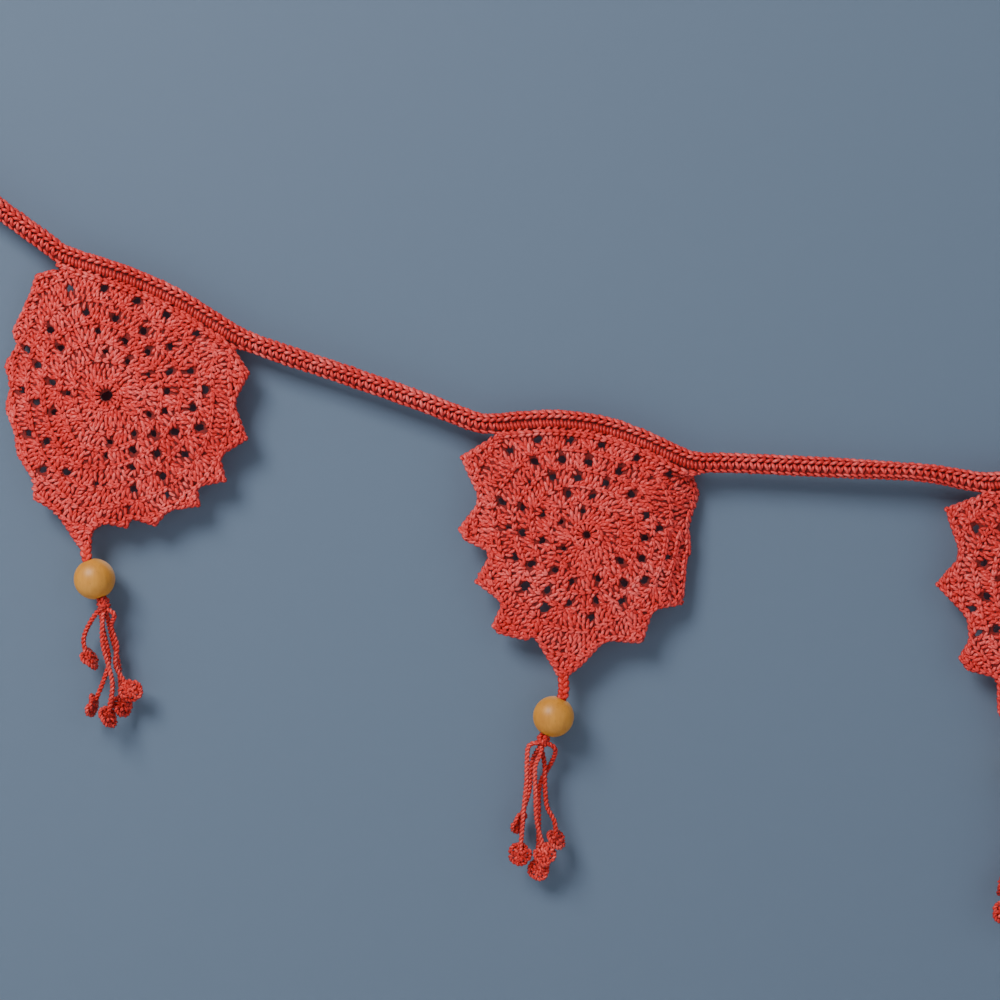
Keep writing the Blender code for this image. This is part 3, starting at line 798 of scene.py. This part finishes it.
def posts(yarn, cloth, feet, heads, low, high, lifts):
    """Double crochet posts: two strands that twist round each other from foot to head."""
    height = high - low
    many = len(feet)
    share = np.linspace(0, 1, POST_POINTS)
    begin = chance.uniform(0.0, 0.35, many)
    hand = np.where(chance.uniform(0, 1, many) < HAND, 1.0, -1.0)
    pitch = POST_TURN * chance.uniform(0.85, 1.15, many)
    widths = chance.uniform(0.9, 1.08, many)
    lean = chance.normal(0, 0.18, many)
    far = low[:, None] - 0.4 + (height[:, None] + 0.5) * share
    angles = feet[:, None] + (heads - feet)[:, None] * share ** 0.85
    for strand in (0, 0.5):
        turn = 2 * math.pi * (begin[:, None] + strand + (height / pitch)[:, None] * share)
        aside = 0.6 * (hand * widths)[:, None] * np.sin(turn) + lean[:, None] * (share - 0.5) * 2
        out = 0.74 * np.cos(turn) + lifts[:, None] * np.sin(np.pi * share)
        swell = YARN * (0.84 + 0.24 * np.sin(np.pi * share)) * widths[:, None]
        yarn.add(cloth.place(far, angles, aside, out), swell)
    return (cloth.centre + direction(angles) * far[..., None]).reshape(-1, 2)


def fill_in(yarn, cloth, gaps, spots):
    """Short stitches wherever the posts, whose middle lines run through spots, leave the ground bare."""
    low, high = cloth.outline.min(0), cloth.outline.max(0)
    x, z = (np.arange(a, b, 0.75) for a, b in zip(low, high))
    grid = np.stack(np.meshgrid(x, z), -1).reshape(-1, 2)
    grid = grid[inside(grid, cloth.outline)]
    grid = grid[distance_to(grid, cloth.free_edge) > RIM + 1.0]
    for _, angle, far, radius in gaps:
        middle = cloth.centre + direction(angle) * far
        grid = grid[np.linalg.norm(grid - middle, axis=1) > radius * 0.85 + 0.9]
    bare = np.array([np.linalg.norm(spots - place, axis=1).min() for place in grid])
    picked = []
    for i in np.argsort(-bare):
        if bare[i] < 1.25:
            break
        if all(math.dist(grid[i], place) > 1.35 for place in picked):
            picked.append(grid[i])
    picked = np.array(picked)
    away = picked - cloth.centre
    angles = np.arctan2(away[:, 0], away[:, 1]) + chance.normal(0.35, 0.5, len(picked))
    share = np.linspace(-0.5, 0.5, SHORT_POINTS)
    swell = np.cos(np.pi * share)
    ray = np.stack([np.sin(angles), np.cos(angles)], -1)
    length = chance.uniform(2.6, 3.6, len(picked))
    flat = picked[:, None] + ray[:, None] * (length[:, None] * share)[..., None]
    for side in (1, -1):
        out = np.broadcast_to(side * (0.35 + 0.4 * swell), flat.shape[:2])
        yarn.add(cloth.lift(flat[..., 0], flat[..., 1], out), YARN * (0.55 + 0.42 * swell))


def loops(yarn, cloth, angles, far):
    """The V at the head of each post: two legs in front, and one behind."""
    share = np.linspace(-0.5, 0.5, SHORT_POINTS)
    swell = np.cos(np.pi * share)
    for side, leg in ((1, 1), (1, -1), (-1, 1)):
        tilt = chance.normal(0.72, 0.2, len(angles))[:, None]
        aside = chance.normal(0, 0.15, len(angles))[:, None] + 2.9 * share
        reach = far[:, None] + leg * (0.12 + tilt * (share + 0.5))
        out = side * (0.75 + 0.5 * swell)
        yarn.add(cloth.place(reach, angles[:, None], aside, out), YARN * (0.5 + 0.5 * swell))


def centre_ring(yarn, cloth, hole):
    """The first round: plump stitches round the hole, and the chain that closes them."""
    count = 14
    angles = np.arange(count) * 360 / count + chance.normal(0, 2.0, count)
    share = np.linspace(0, 1, 8)
    far = hole + 0.5 + (4.7 - hole) * share
    for side in (1, -1):
        out = side * (0.3 + 0.85 * np.sin(np.pi * share ** 0.8))
        paths = cloth.place(far[None], angles[:, None], np.zeros((count, 8)), out)
        yarn.add(paths, 0.6 + 0.2 * share)
    loops(yarn, cloth, angles, np.full(count, CENTRE_RING - 0.5))


def rim(yarn, cloth):
    """The rope of stitches along the free edge, with a small knob at each point."""
    line = resampled(cloth.points_edge, 0.75)
    ahead = unit(np.gradient(line, axis=0))
    inward = np.stack([-ahead[:, 1], ahead[:, 0]], -1)
    middle = line + inward * RIM
    turn = lengths_along(middle) / 5.6 * 2 * math.pi
    for strand in (0, math.pi):
        flat = middle + inward * (0.55 * np.sin(turn + strand))[:, None]
        yarn.add(cloth.lift(flat[:, 0], flat[:, 1], 0.66 * np.cos(turn + strand)), YARN)
    turns = np.linspace(0, 2 * math.pi, 11)
    for tip, toward in cloth.tips:
        place = tip - toward * 0.9
        flat = place + 0.62 * np.stack([np.cos(turns), np.sin(turns)], -1)
        yarn.add(cloth.lift(flat[:, 0], flat[:, 1], 0.35 * np.sin(turns * 2)), 0.6)


def pennant_stitches(cloth, gaps):
    yarn = Yarn()
    lines = ring_lines(cloth, gaps)
    edge = cloth.hits + np.where(cloth.under_band(cloth.angles), 0.6, 0.0)
    hole = gaps[gaps[:, 2] == 0][0, 3]
    bounds = [np.full(len(edge), CENTRE_RING)]
    bounds += [(a + b) / 2 for a, b in zip(lines, lines[1:])]
    last = lines[-1] + (lines[-1] - lines[-2]) / 2
    bounds += [last, last + 7.0, last + 14.0, last + 21.0]
    bounds = [np.where(edge - bound < 3.0, edge, bound) for bound in bounds]
    centre_ring(yarn, cloth, hole)
    turns = np.radians(np.arange(0, 360, 10))
    spots = [cloth.centre + far * np.stack([np.sin(turns), np.cos(turns)], -1) for far in (2.5, 4.0, 5.3)]
    inner = gaps[:0]
    for ring, (low, high) in enumerate(zip(bounds, bounds[1:])):
        own = gaps[(gaps[:, 0] == ring) & (gaps[:, 2] > 0)]
        if ring >= 5:
            own = np.concatenate([own, cloth.notches])
        middle = (low + high)[high > low] / 2
        if not len(middle):
            break
        feet, heads, lifts = fans(own, inner, float(np.mean(middle)))
        turned = (heads + 180) % 360 - 180
        lows, highs = (np.interp(turned, cloth.angles, bound) for bound in (low, high))
        highs = kept_inside(cloth, turned, lows, highs)
        tall = highs - lows > 1.5
        feet, heads, lifts = feet[tall], heads[tall], lifts[tall]
        lows, highs = lows[tall], highs[tall]
        spots.append(posts(yarn, cloth, feet, heads, lows, highs, lifts))
        loops(yarn, cloth, heads, highs)
        inner = own
    fill_in(yarn, cloth, gaps, np.concatenate(spots))
    rim(yarn, cloth)
    return yarn


def inside(points, polygon):
    after = np.roll(polygon, -1, 0)
    x, z = points[:, 0, None], points[:, 1, None]
    spans = (polygon[:, 1] > z) != (after[:, 1] > z)
    rise = np.where(after[:, 1] == polygon[:, 1], 1.0, after[:, 1] - polygon[:, 1])
    left = x < polygon[:, 0] + (z - polygon[:, 1]) / rise * (after[:, 0] - polygon[:, 0])
    return (spans & left).sum(1) % 2 == 1


def distance_to(points, line):
    """The distance of each point to an open line of points."""
    a, b = line[:-1], line[1:]
    along = b - a
    share = ((points[:, None] - a) * along).sum(-1) / np.maximum((along ** 2).sum(-1), 1e-9)
    near = a + along * np.clip(share, 0, 1)[..., None]
    return np.linalg.norm(points[:, None] - near, axis=-1).min(1)


def closed(ring):
    return np.concatenate([ring, ring[:1]])


def make_ground(name, cloth, gaps):
    """The thin sheet behind a pennant's stitches, open where its gaps are, dark with painted shade."""
    outline = resampled(closed(cloth.outline), 2.0)[:-1]
    ahead = unit(np.roll(outline, -1, 0) - np.roll(outline, 1, 0))
    outline = outline + np.stack([-ahead[:, 1], ahead[:, 0]], -1) * GROUND_INSET
    rings = [outline]
    turns = np.arange(10) * 2 * math.pi / 10
    for _, angle, far, radius in gaps:
        middle = cloth.centre + direction(angle) * far
        uneven = (radius + 0.2) * chance.uniform(0.75, 1.1, len(turns))
        lean = chance.uniform(0, math.pi)
        flat = np.stack([np.cos(turns), 0.78 * np.sin(turns)], -1) * uneven[:, None]
        across = np.array([[math.cos(lean), math.sin(lean)], [-math.sin(lean), math.cos(lean)]])
        rings.append(middle + flat @ across)
    low, high = outline.min(0), outline.max(0)
    x = np.arange(low[0], high[0], GROUND_SPACING)
    z = np.arange(low[1], high[1], GROUND_SPACING * 0.866)
    fill = np.stack(np.meshgrid(x, z), -1)
    fill[1::2, :, 0] += GROUND_SPACING / 2
    fill = fill.reshape(-1, 2)
    keep = inside(fill, outline) & (distance_to(fill, closed(outline)) > 1.2)
    for ring in rings[1:]:
        keep &= (distance_to(fill, closed(ring)) > 1.0) & ~inside(fill, ring)
    points, edges = [], []
    for ring in rings:
        first = len(points)
        points += [Vector(p) for p in ring]
        edges += [(first + i, first + (i + 1) % len(ring)) for i in range(len(ring))]
    points += [Vector(p) for p in fill[keep]]
    placed, _, triangles, *_ = geometry.delaunay_2d_cdt(points, edges, [], 0, 1e-4)
    placed = np.array([tuple(p) for p in placed])
    triangles = np.array(triangles)
    middles = placed[triangles].mean(1)
    keep = inside(middles, outline)
    for ring in rings[1:]:
        keep &= ~inside(middles, ring)
    triangles = triangles[keep]
    used, triangles = np.unique(triangles, return_inverse=True)
    triangles = triangles.reshape(-1, 3)
    placed = placed[used]
    spots = cloth.lift(placed[:, 0], placed[:, 1], 0.0)
    mesh = bpy.data.meshes.new(name)
    mesh.from_pydata((spots * MM).tolist(), [], triangles.tolist())
    mesh.shade_smooth()
    piece = add_piece(name, mesh, ground_material)
    thick = piece.modifiers.new("thickness", "SOLIDIFY")
    thick.thickness = GROUND_THICKNESS * MM
    thick.offset = 0.0
    return piece


def make_pennant(number, pennant, route):
    cloth = Cloth(pennant, route)
    gaps = cloth.gaps(pennant["gaps"])
    ground = make_ground(f"pennant_{number}_ground", cloth, gaps)
    stitches = pennant_stitches(cloth, gaps)
    stitches = stitches.build(f"pennant_{number}_stitches", yarn_material, "coral_cotton")
    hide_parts(f"pennant_{number}")


def lean_axis(drop):
    return direction(180 - drop["lean"])


def in_3d(flat, depth=0.0):
    flat = np.asarray(flat, float)
    return np.stack([flat[..., 0], np.full(flat.shape[:-1], depth), flat[..., 1]], -1)


def make_neck(number, drop):
    """The plaited stem from a pennant's tip through its bead."""
    axis = lean_axis(drop)
    top, bead = np.array(drop["top"]), np.array(drop["bead"])
    entry = bead - axis * BEAD_DIAMETER / 2
    leave = bead + axis * (BEAD_DIAMETER / 2 + NECK_PROUD)
    start = top - unit(entry - top) * 1.6
    rows = [(*start, 0.0), (*top, 0.0), (*entry, 0.0), (*leave, 0.0)]
    middle = resampled(catmull_rom(rows, 0.5)[:, [0, 2, 1]], 0.45)
    along = lengths_along(middle)
    ahead = unit(np.gradient(middle, axis=0))
    side = np.stack([-ahead[:, 2], np.zeros(len(ahead)), ahead[:, 0]], -1)
    room = np.clip(np.linalg.norm(middle - in_3d(bead), axis=1) - BEAD_DIAMETER / 2 + 1.5, 0, 2.5) / 2.5
    yarn = Yarn(sides=8)
    for ply in range(3):
        turn = (along / 7.2 + ply / 3) * 2 * math.pi
        across = np.sin(turn) * (0.85 + 0.55 * room)
        depth = np.sin(2 * turn) * (0.5 + 0.3 * room)
        path = middle + side * across[:, None] + np.array([0.0, 1.0, 0.0]) * depth[:, None]
        yarn.add(path, 0.85 + 0.17 * room)
    piece = yarn.build(f"neck_{number}_cord", cord_material, "coral_cord")
    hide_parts(f"neck_{number}")


def make_bead(number, drop):
    """A turned ball whose bore has slightly rounded edges."""
    radius, bore = BEAD_DIAMETER / 2, BEAD_BORE / 2 + 0.05
    start = math.asin((bore + 0.35) / radius)
    turns = np.linspace(start, math.pi - start, 30)
    outer = np.stack([radius * np.sin(turns), radius * np.cos(turns)], -1)
    high = outer[0, 1]
    lip = np.array([[bore + 0.12, high - 0.06], [bore, high - 0.3]])
    section = np.concatenate([outer, lip * [1, -1], lip[::-1]])
    around = np.arange(56) * 2 * math.pi / 56
    axis = lean_axis(drop)
    down = np.array([axis[0], 0.0, axis[1]])
    side = np.array([-axis[1], 0.0, axis[0]])
    back = np.array([0.0, 1.0, 0.0])
    centre = in_3d(drop["bead"])
    ring = np.cos(around)[:, None] * side + np.sin(around)[:, None] * back
    points = centre + section[:, 0, None, None] * ring[None] - section[:, 1, None, None] * down
    count, many = len(section), len(around)
    grid = np.arange(count * many).reshape(count, many)
    below, beside = np.roll(grid, -1, 0), np.roll(grid, -1, 1)
    corner = np.roll(below, -1, 1)
    faces = np.stack([grid, below, corner, beside], -1).reshape(-1, 4)
    mesh = bpy.data.meshes.new(f"bead_{number}_turned")
    mesh.from_pydata((points.reshape(-1, 3) * MM).tolist(), [], faces.tolist())
    mesh.shade_smooth()
    piece = add_piece(f"bead_{number}_turned", mesh, wood_material)
    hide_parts(f"bead_{number}")


def rosette(yarn, centre, turns, size):
    """A small crocheted flower: petals of bent twisted yarn, each round a short puff, and a knot."""
    yaw, slant = math.radians(turns[0]), math.radians(turns[1])

    def turned(x, y, z):
        """Turned about z by the yaw, so that it may show its side, and then about y by the slant."""
        x, y = x * math.cos(yaw) - y * math.sin(yaw), x * math.sin(yaw) + y * math.cos(yaw)
        x, z = x * math.cos(slant) + z * math.sin(slant), z * math.cos(slant) - x * math.sin(slant)
        return np.array([x, y, z])

    first, axis, second = turned(1, 0, 0), turned(0, 1, 0), turned(0, 0, 1)
    bend = np.linspace(0, math.pi, 20)
    short = np.linspace(0, math.pi, 9)
    for petal in range(5):
        turn = 2 * math.pi * (petal + chance.uniform(-0.13, 0.13)) / 5
        out = first * math.cos(turn) + second * math.sin(turn)
        aside = second * math.cos(turn) - first * math.sin(turn)
        cup = chance.uniform(-0.8, 1.4)
        length = size * chance.uniform(0.82, 1.0)
        path = (
            centre
            + out * (length * (0.1 + 0.74 * np.sin(bend)))[:, None]
            + aside * (size * 0.37 * np.sin(bend * 2))[:, None]
            + axis * (cup * np.sin(bend))[:, None]
        )
        yarn.add(*twist(path, 0.56, 0.5, 2.9, begin=chance.uniform(0, 1)))
        for side in (1, -1):
            puff = (
                centre
                + out * (length * (0.2 + 0.14 * short))[:, None]
                + axis * (cup * 0.6 + side * 0.75 * np.sin(short))[:, None]
            )
            yarn.add(puff, 0.5 + 0.3 * np.sin(short))
    ring_turn = np.linspace(0, 2 * math.pi * 1.5, 20)
    ring = (
        centre
        + first * (1.0 * np.cos(ring_turn))[:, None]
        + second * (1.0 * np.sin(ring_turn))[:, None]
        + axis * np.linspace(-1.3, 1.3, 20)[:, None]
    )
    yarn.add(ring, 0.62)


def make_tassel(number, drop):
    """Twisted strands from a small knot under the bead, each with a crocheted flower at its end."""
    axis = lean_axis(drop)
    centre = in_3d(drop["bead"])
    down = np.array([axis[0], 0.0, axis[1]])
    side = np.array([-axis[1], 0.0, axis[0]])
    back = np.array([0.0, 1.0, 0.0])
    below = BEAD_DIAMETER / 2 + NECK_PROUD + GAP + TASSEL_HEAD_RADIUS * TASSEL_HEAD_FLATNESS
    cords = Yarn()
    flowers = Yarn()
    count = len(drop["strands"])
    for i, (turns, points) in enumerate(drop["strands"]):
        spin = 2 * math.pi * i / count
        spot = side * 1.05 * math.cos(spin) + back * 1.05 * math.sin(spin)
        rows = [
            (down * (BEAD_DIAMETER / 2 - 0.3) + spot)[[0, 2, 1]],
            (down * (below - 0.6) + spot * 1.5)[[0, 2, 1]],
            *points,
        ]
        middle = resampled(catmull_rom(rows, 0.55)[:, [0, 2, 1]] + centre, 0.5)
        cords.add(*twist(middle, STRAND_PLY, 0.52, 3.4, begin=chance.uniform(0, 1)))
        x, z, y = points[-1]
        rosette(flowers, centre + np.array([x, y, z]), turns, ROSETTE_RADIUS)
    for tilt, wide in ((0.5, 1.9), (-0.7, 1.7)):
        turn = np.linspace(0, 2 * math.pi, 24)
        knot = (
            centre + down * below
            + side * (wide * np.cos(turn))[:, None]
            + back * (wide * np.sin(turn))[:, None]
            + down * (tilt * wide * np.cos(turn))[:, None]
        )
        cords.add(*twist(knot, 0.5, 0.45, 3.0))
    piece = cords.build(f"tassel_{number}_strands", cord_material, "coral_cord")
    flowers.build(f"tassel_{number}_flowers", cord_material, "coral_cord")
    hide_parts(f"tassel_{number}")


def node_tools(material):
    """The material's shader, and a call that adds a node with its settings and input values."""
    material.use_nodes = True
    tree = material.node_tree

    def add(kind, inputs=(), **settings):
        node = tree.nodes.new(kind)
        for name, value in settings.items():
            setattr(node, name, value)
        for name, value in dict(inputs).items():
            if isinstance(value, bpy.types.NodeSocket):
                tree.links.new(value, node.inputs[name])
            else:
                node.inputs[name].default_value = value
        return node

    return tree.nodes["Principled BSDF"], tree, add


def ramp(node, stops):
    """Sets a colour ramp's stops from places and colours."""
    elements = node.color_ramp.elements
    while len(elements) < len(stops):
        elements.new(0.5)
    for element, (place, colour) in zip(elements, stops):
        element.position = place
        element.color = (*colour, 1.0)
    return node


def make_yarn_material(name, deep, dark, middle, light):
    """Mercerised cotton: the ply's slant as fine bump, and colour that differs a little along the yarn.

    The flanks of each turn of yarn, which lie against the next, are painted in shade: mixed towards the deep
    colour, darker than its face.
    """
    material = bpy.data.materials.new(name)
    shader, tree, add = node_tools(material)
    place = add("ShaderNodeTexCoord")
    tone_and_shade = add("ShaderNodeAttribute", attribute_name="tone_and_shade")
    patches = add("ShaderNodeTexNoise", {"Vector": place.outputs["Object"], "Scale": 55.0, "Detail": 3.0})
    fibres = add("ShaderNodeTexNoise", {"Vector": place.outputs["Object"], "Scale": 900.0, "Detail": 2.0})
    mixed = add("ShaderNodeMath", {0: tone_and_shade.outputs["Fac"], 1: 0.28}, operation="MULTIPLY")
    mixed = add("ShaderNodeMath", {0: patches.outputs["Fac"], 1: 0.6, 2: mixed.outputs[0]},
                operation="MULTIPLY_ADD")
    mixed = add("ShaderNodeMath", {0: fibres.outputs["Fac"], 1: 0.3, 2: mixed.outputs[0]},
                operation="MULTIPLY_ADD")
    colours = ramp(
        add("ShaderNodeValToRGB", {"Fac": mixed.outputs[0]}),
        [(0.25, dark), (0.58, middle), (0.85, light)],
    )
    # Painted shade: where the normal turns away from front and back, on the flanks of each tube, the colour
    # is mixed towards deep.
    facing = add("ShaderNodeSeparateXYZ", {0: place.outputs["Normal"]})
    facing = add("ShaderNodeMath", {0: facing.outputs["Y"]}, operation="ABSOLUTE")
    facing = add("ShaderNodeMapRange", {0: facing.outputs[0], 1: 0.15, 2: 0.8},
                 interpolation_type="SMOOTHSTEP")
    shaded = add("ShaderNodeMix", {0: facing.outputs[0], 6: (*deep, 1.0), 7: colours.outputs["Color"]},
                 data_type="RGBA")
    tree.links.new(shaded.outputs[2], shader.inputs["Base Color"])
    split = add("ShaderNodeSeparateXYZ", {0: place.outputs["UV"]})
    around = add("ShaderNodeMath", {0: split.outputs["Y"], 1: 3.0}, operation="MULTIPLY")
    slant = add("ShaderNodeMath", {0: split.outputs["X"], 1: 0.62, 2: around.outputs[0]},
                operation="MULTIPLY_ADD")
    turns = add("ShaderNodeMath", {0: slant.outputs[0], 1: 2 * math.pi}, operation="MULTIPLY")
    wave = add("ShaderNodeMath", {0: turns.outputs[0]}, operation="SINE")
    height = add("ShaderNodeMath", {0: fibres.outputs["Fac"], 1: 0.9, 2: wave.outputs[0]},
                 operation="MULTIPLY_ADD")
    bump = add("ShaderNodeBump", {"Height": height.outputs[0], "Strength": 0.42, "Distance": 0.00022})
    tree.links.new(bump.outputs["Normal"], shader.inputs["Normal"])
    shader.inputs["Roughness"].default_value = 0.45
    shader.inputs["Sheen Weight"].default_value = 0.12
    shader.inputs["Sheen Roughness"].default_value = 0.45
    shader.inputs["Sheen Tint"].default_value = (1.0, 0.62, 0.55, 1.0)
    shader.inputs["Specular IOR Level"].default_value = 0.4
    return material


def make_ground_material():
    """The yarn behind the stitches, in painted shade: a dark sheet for the crevices between them."""
    material = bpy.data.materials.new("coral_cotton_behind")
    shader, tree, add = node_tools(material)
    place = add("ShaderNodeTexCoord")
    noise = add("ShaderNodeTexNoise", {"Vector": place.outputs["Object"], "Scale": 700.0, "Detail": 4.0})
    # Painted shade: very dark red for the shadowed depth between the stitches.
    colours = ramp(
        add("ShaderNodeValToRGB", {"Fac": noise.outputs["Fac"]}),
        [(0.35, (0.1, 0.001, 0.001)), (0.7, (0.24, 0.004, 0.003))],
    )
    tree.links.new(colours.outputs["Color"], shader.inputs["Base Color"])
    bump = add("ShaderNodeBump", {"Height": noise.outputs["Fac"], "Strength": 0.6, "Distance": 0.0004})
    tree.links.new(bump.outputs["Normal"], shader.inputs["Normal"])
    shader.inputs["Roughness"].default_value = 0.85
    return material


def make_wood_material():
    """Pale turned wood: faint grain along the bead, small dark pores, a thin satin varnish."""
    material = bpy.data.materials.new("pale_wood")
    shader, tree, add = node_tools(material)
    place = add("ShaderNodeTexCoord")
    stretch = add("ShaderNodeMapping", {"Vector": place.outputs["Object"], "Scale": (1.0, 1.0, 0.22)})
    grain = add("ShaderNodeTexNoise",
                {"Vector": stretch.outputs["Vector"], "Scale": 520.0, "Detail": 5.0, "Distortion": 0.6})
    broad = add("ShaderNodeTexNoise", {"Vector": place.outputs["Object"], "Scale": 90.0, "Detail": 2.0})
    mixed = add("ShaderNodeMath", {0: broad.outputs["Fac"], 1: 0.6}, operation="MULTIPLY")
    mixed = add("ShaderNodeMath", {0: grain.outputs["Fac"], 1: 0.5, 2: mixed.outputs[0]},
                operation="MULTIPLY_ADD")
    colours = ramp(
        add("ShaderNodeValToRGB", {"Fac": mixed.outputs[0]}),
        [(0.35, (0.5, 0.19, 0.012)), (0.55, (0.61, 0.25, 0.02)), (0.75, (0.68, 0.3, 0.036))],
    )
    pores = add("ShaderNodeTexVoronoi", {"Vector": stretch.outputs["Vector"], "Scale": 900.0})
    dots = add("ShaderNodeMath", {0: pores.outputs["Distance"], 1: 0.14}, operation="LESS_THAN")
    shade = add("ShaderNodeMath", {0: dots.outputs[0], 1: 0.35}, operation="MULTIPLY")
    tinted = add("ShaderNodeMix", {0: shade.outputs[0], 6: colours.outputs["Color"],
                                   7: (0.16, 0.07, 0.02, 1.0)}, data_type="RGBA")
    tree.links.new(tinted.outputs[2], shader.inputs["Base Color"])
    bump = add("ShaderNodeBump", {"Height": grain.outputs["Fac"], "Strength": 0.08, "Distance": 0.0002})
    tree.links.new(bump.outputs["Normal"], shader.inputs["Normal"])
    shader.inputs["Roughness"].default_value = 0.5
    shader.inputs["Coat Weight"].default_value = 0.12
    shader.inputs["Coat Roughness"].default_value = 0.3
    return material


def plane(name, corners, material):
    mesh = bpy.data.meshes.new(name)
    mesh.from_pydata([tuple(c * MM for c in corner) for corner in corners], [], [(0, 1, 2, 3)])
    mesh.materials.append(material)
    made = bpy.data.objects.new(name, mesh)
    bpy.context.scene.collection.objects.link(made)
    return made


def plain_material(name, colour, one_sided=False):
    material = bpy.data.materials.new(name)
    shader, tree, add = node_tools(material)
    shader.inputs["Base Color"].default_value = (*colour, 1.0)
    shader.inputs["Roughness"].default_value = 0.9
    if one_sided:
        clear = add("ShaderNodeBsdfTransparent")
        facing = add("ShaderNodeNewGeometry")
        mix = add("ShaderNodeMixShader", {0: facing.outputs["Backfacing"], 1: shader.outputs[0],
                                          2: clear.outputs[0]})
        tree.links.new(mix.outputs[0], tree.nodes["Material Output"].inputs["Surface"])
    return material


def make_stage():
    """A wall just behind the hanging, open from behind, and a pale floor well below."""
    left, right = VIEW_MIDDLE[0] - STAGE_REACH, VIEW_MIDDLE[0] + STAGE_REACH
    top, near, back = STAGE_REACH, -STAGE_REACH, STAGE_REACH
    wall = plane(
        "backdrop",
        [(left, WALL_Y, FLOOR_Z), (right, WALL_Y, FLOOR_Z), (right, WALL_Y, top), (left, WALL_Y, top)],
        plain_material("wall_paint", (0.115, 0.162, 0.235), one_sided=True),
    )
    wall.visible_shadow = False
    plane(
        "floor",
        [(left, near, FLOOR_Z), (right, near, FLOOR_Z), (right, back, FLOOR_Z), (left, back, FLOOR_Z)],
        plain_material("floor", (0.62, 0.63, 0.64)),
    )


def area_light(name, place, aim, size, power, colour=(1.0, 1.0, 1.0)):
    light = bpy.data.lights.new(name, "AREA")
    light.shape = "SQUARE"
    light.size = size
    light.energy = power
    light.color = colour
    made = bpy.data.objects.new(name, light)
    bpy.context.scene.collection.objects.link(made)
    made.location = place
    made.rotation_euler = (Vector(aim) - Vector(place)).to_track_quat("-Z", "Y").to_euler()


def make_light():
    """A key light from above on the left, a weak fill, and one behind for the views from there."""
    x, z = VIEW_MIDDLE[0] * MM, VIEW_MIDDLE[1] * MM
    middle = (x, 0.0, z)
    area_light("key", (x - 0.8, -1.1, z + 0.95), middle, 0.7, KEY_POWER, (1.0, 0.98, 0.95))
    area_light("fill", (x + 1.3, -1.2, z + 0.1), middle, 1.4, FILL_POWER, (0.95, 0.97, 1.0))
    area_light("behind", (x + 0.4, 1.4, z + 0.9), middle, 1.2, BEHIND_POWER)
    world = bpy.data.worlds.new("studio")
    world.use_nodes = True
    world.node_tree.nodes["Background"].inputs["Color"].default_value = (0.9, 0.94, 1.0, 1.0)
    world.node_tree.nodes["Background"].inputs["Strength"].default_value = SKY_STRENGTH
    bpy.context.scene.world = world


def make_camera():
    x, z = VIEW_MIDDLE
    data = bpy.data.cameras.new("camera")
    data.lens = LENS
    data.sensor_width = SENSOR
    made = bpy.data.objects.new("camera", data)
    bpy.context.scene.collection.objects.link(made)
    made.location = (x * MM, -VIEW_WIDTH * LENS / SENSOR * MM, z * MM)
    made.rotation_euler = (math.pi / 2, 0.0, 0.0)
    bpy.context.scene.camera = made


# The first colour of each yarn is the painted shade on the flanks of its turns; the others are its own tones.
yarn_material = make_yarn_material(
    "coral_cotton", (0.3, 0.002, 0.002), (0.55, 0.008, 0.008), (0.78, 0.032, 0.03), (0.95, 0.13, 0.12)
)
cord_material = make_yarn_material(
    "coral_cord", (0.22, 0.001, 0.001), (0.48, 0.005, 0.003), (0.72, 0.022, 0.016), (0.95, 0.1, 0.08)
)
ground_material = make_ground_material()
wood_material = make_wood_material()

make_camera()
route = Route(BAND_ROUTE)
first, second = (np.array(row[:2]) for row in BAND_ROUTE[:2])
last, before = (np.array(row[:2]) for row in (BAND_ROUTE[-1], BAND_ROUTE[-2]))
make_eye("eye_left", first, unit(first - second))
make_eye("eye_right", last, unit(last - before))
make_band(route, [[route.at(x) for x in pennant["hangs"]] for pennant in PENNANTS])
for number, (pennant, drop) in enumerate(zip(PENNANTS, DROPS), start=1):
    make_pennant(number, pennant, route)
    make_neck(number, drop)
    make_bead(number, drop)
    make_tassel(number, drop)
make_stage()
make_light()
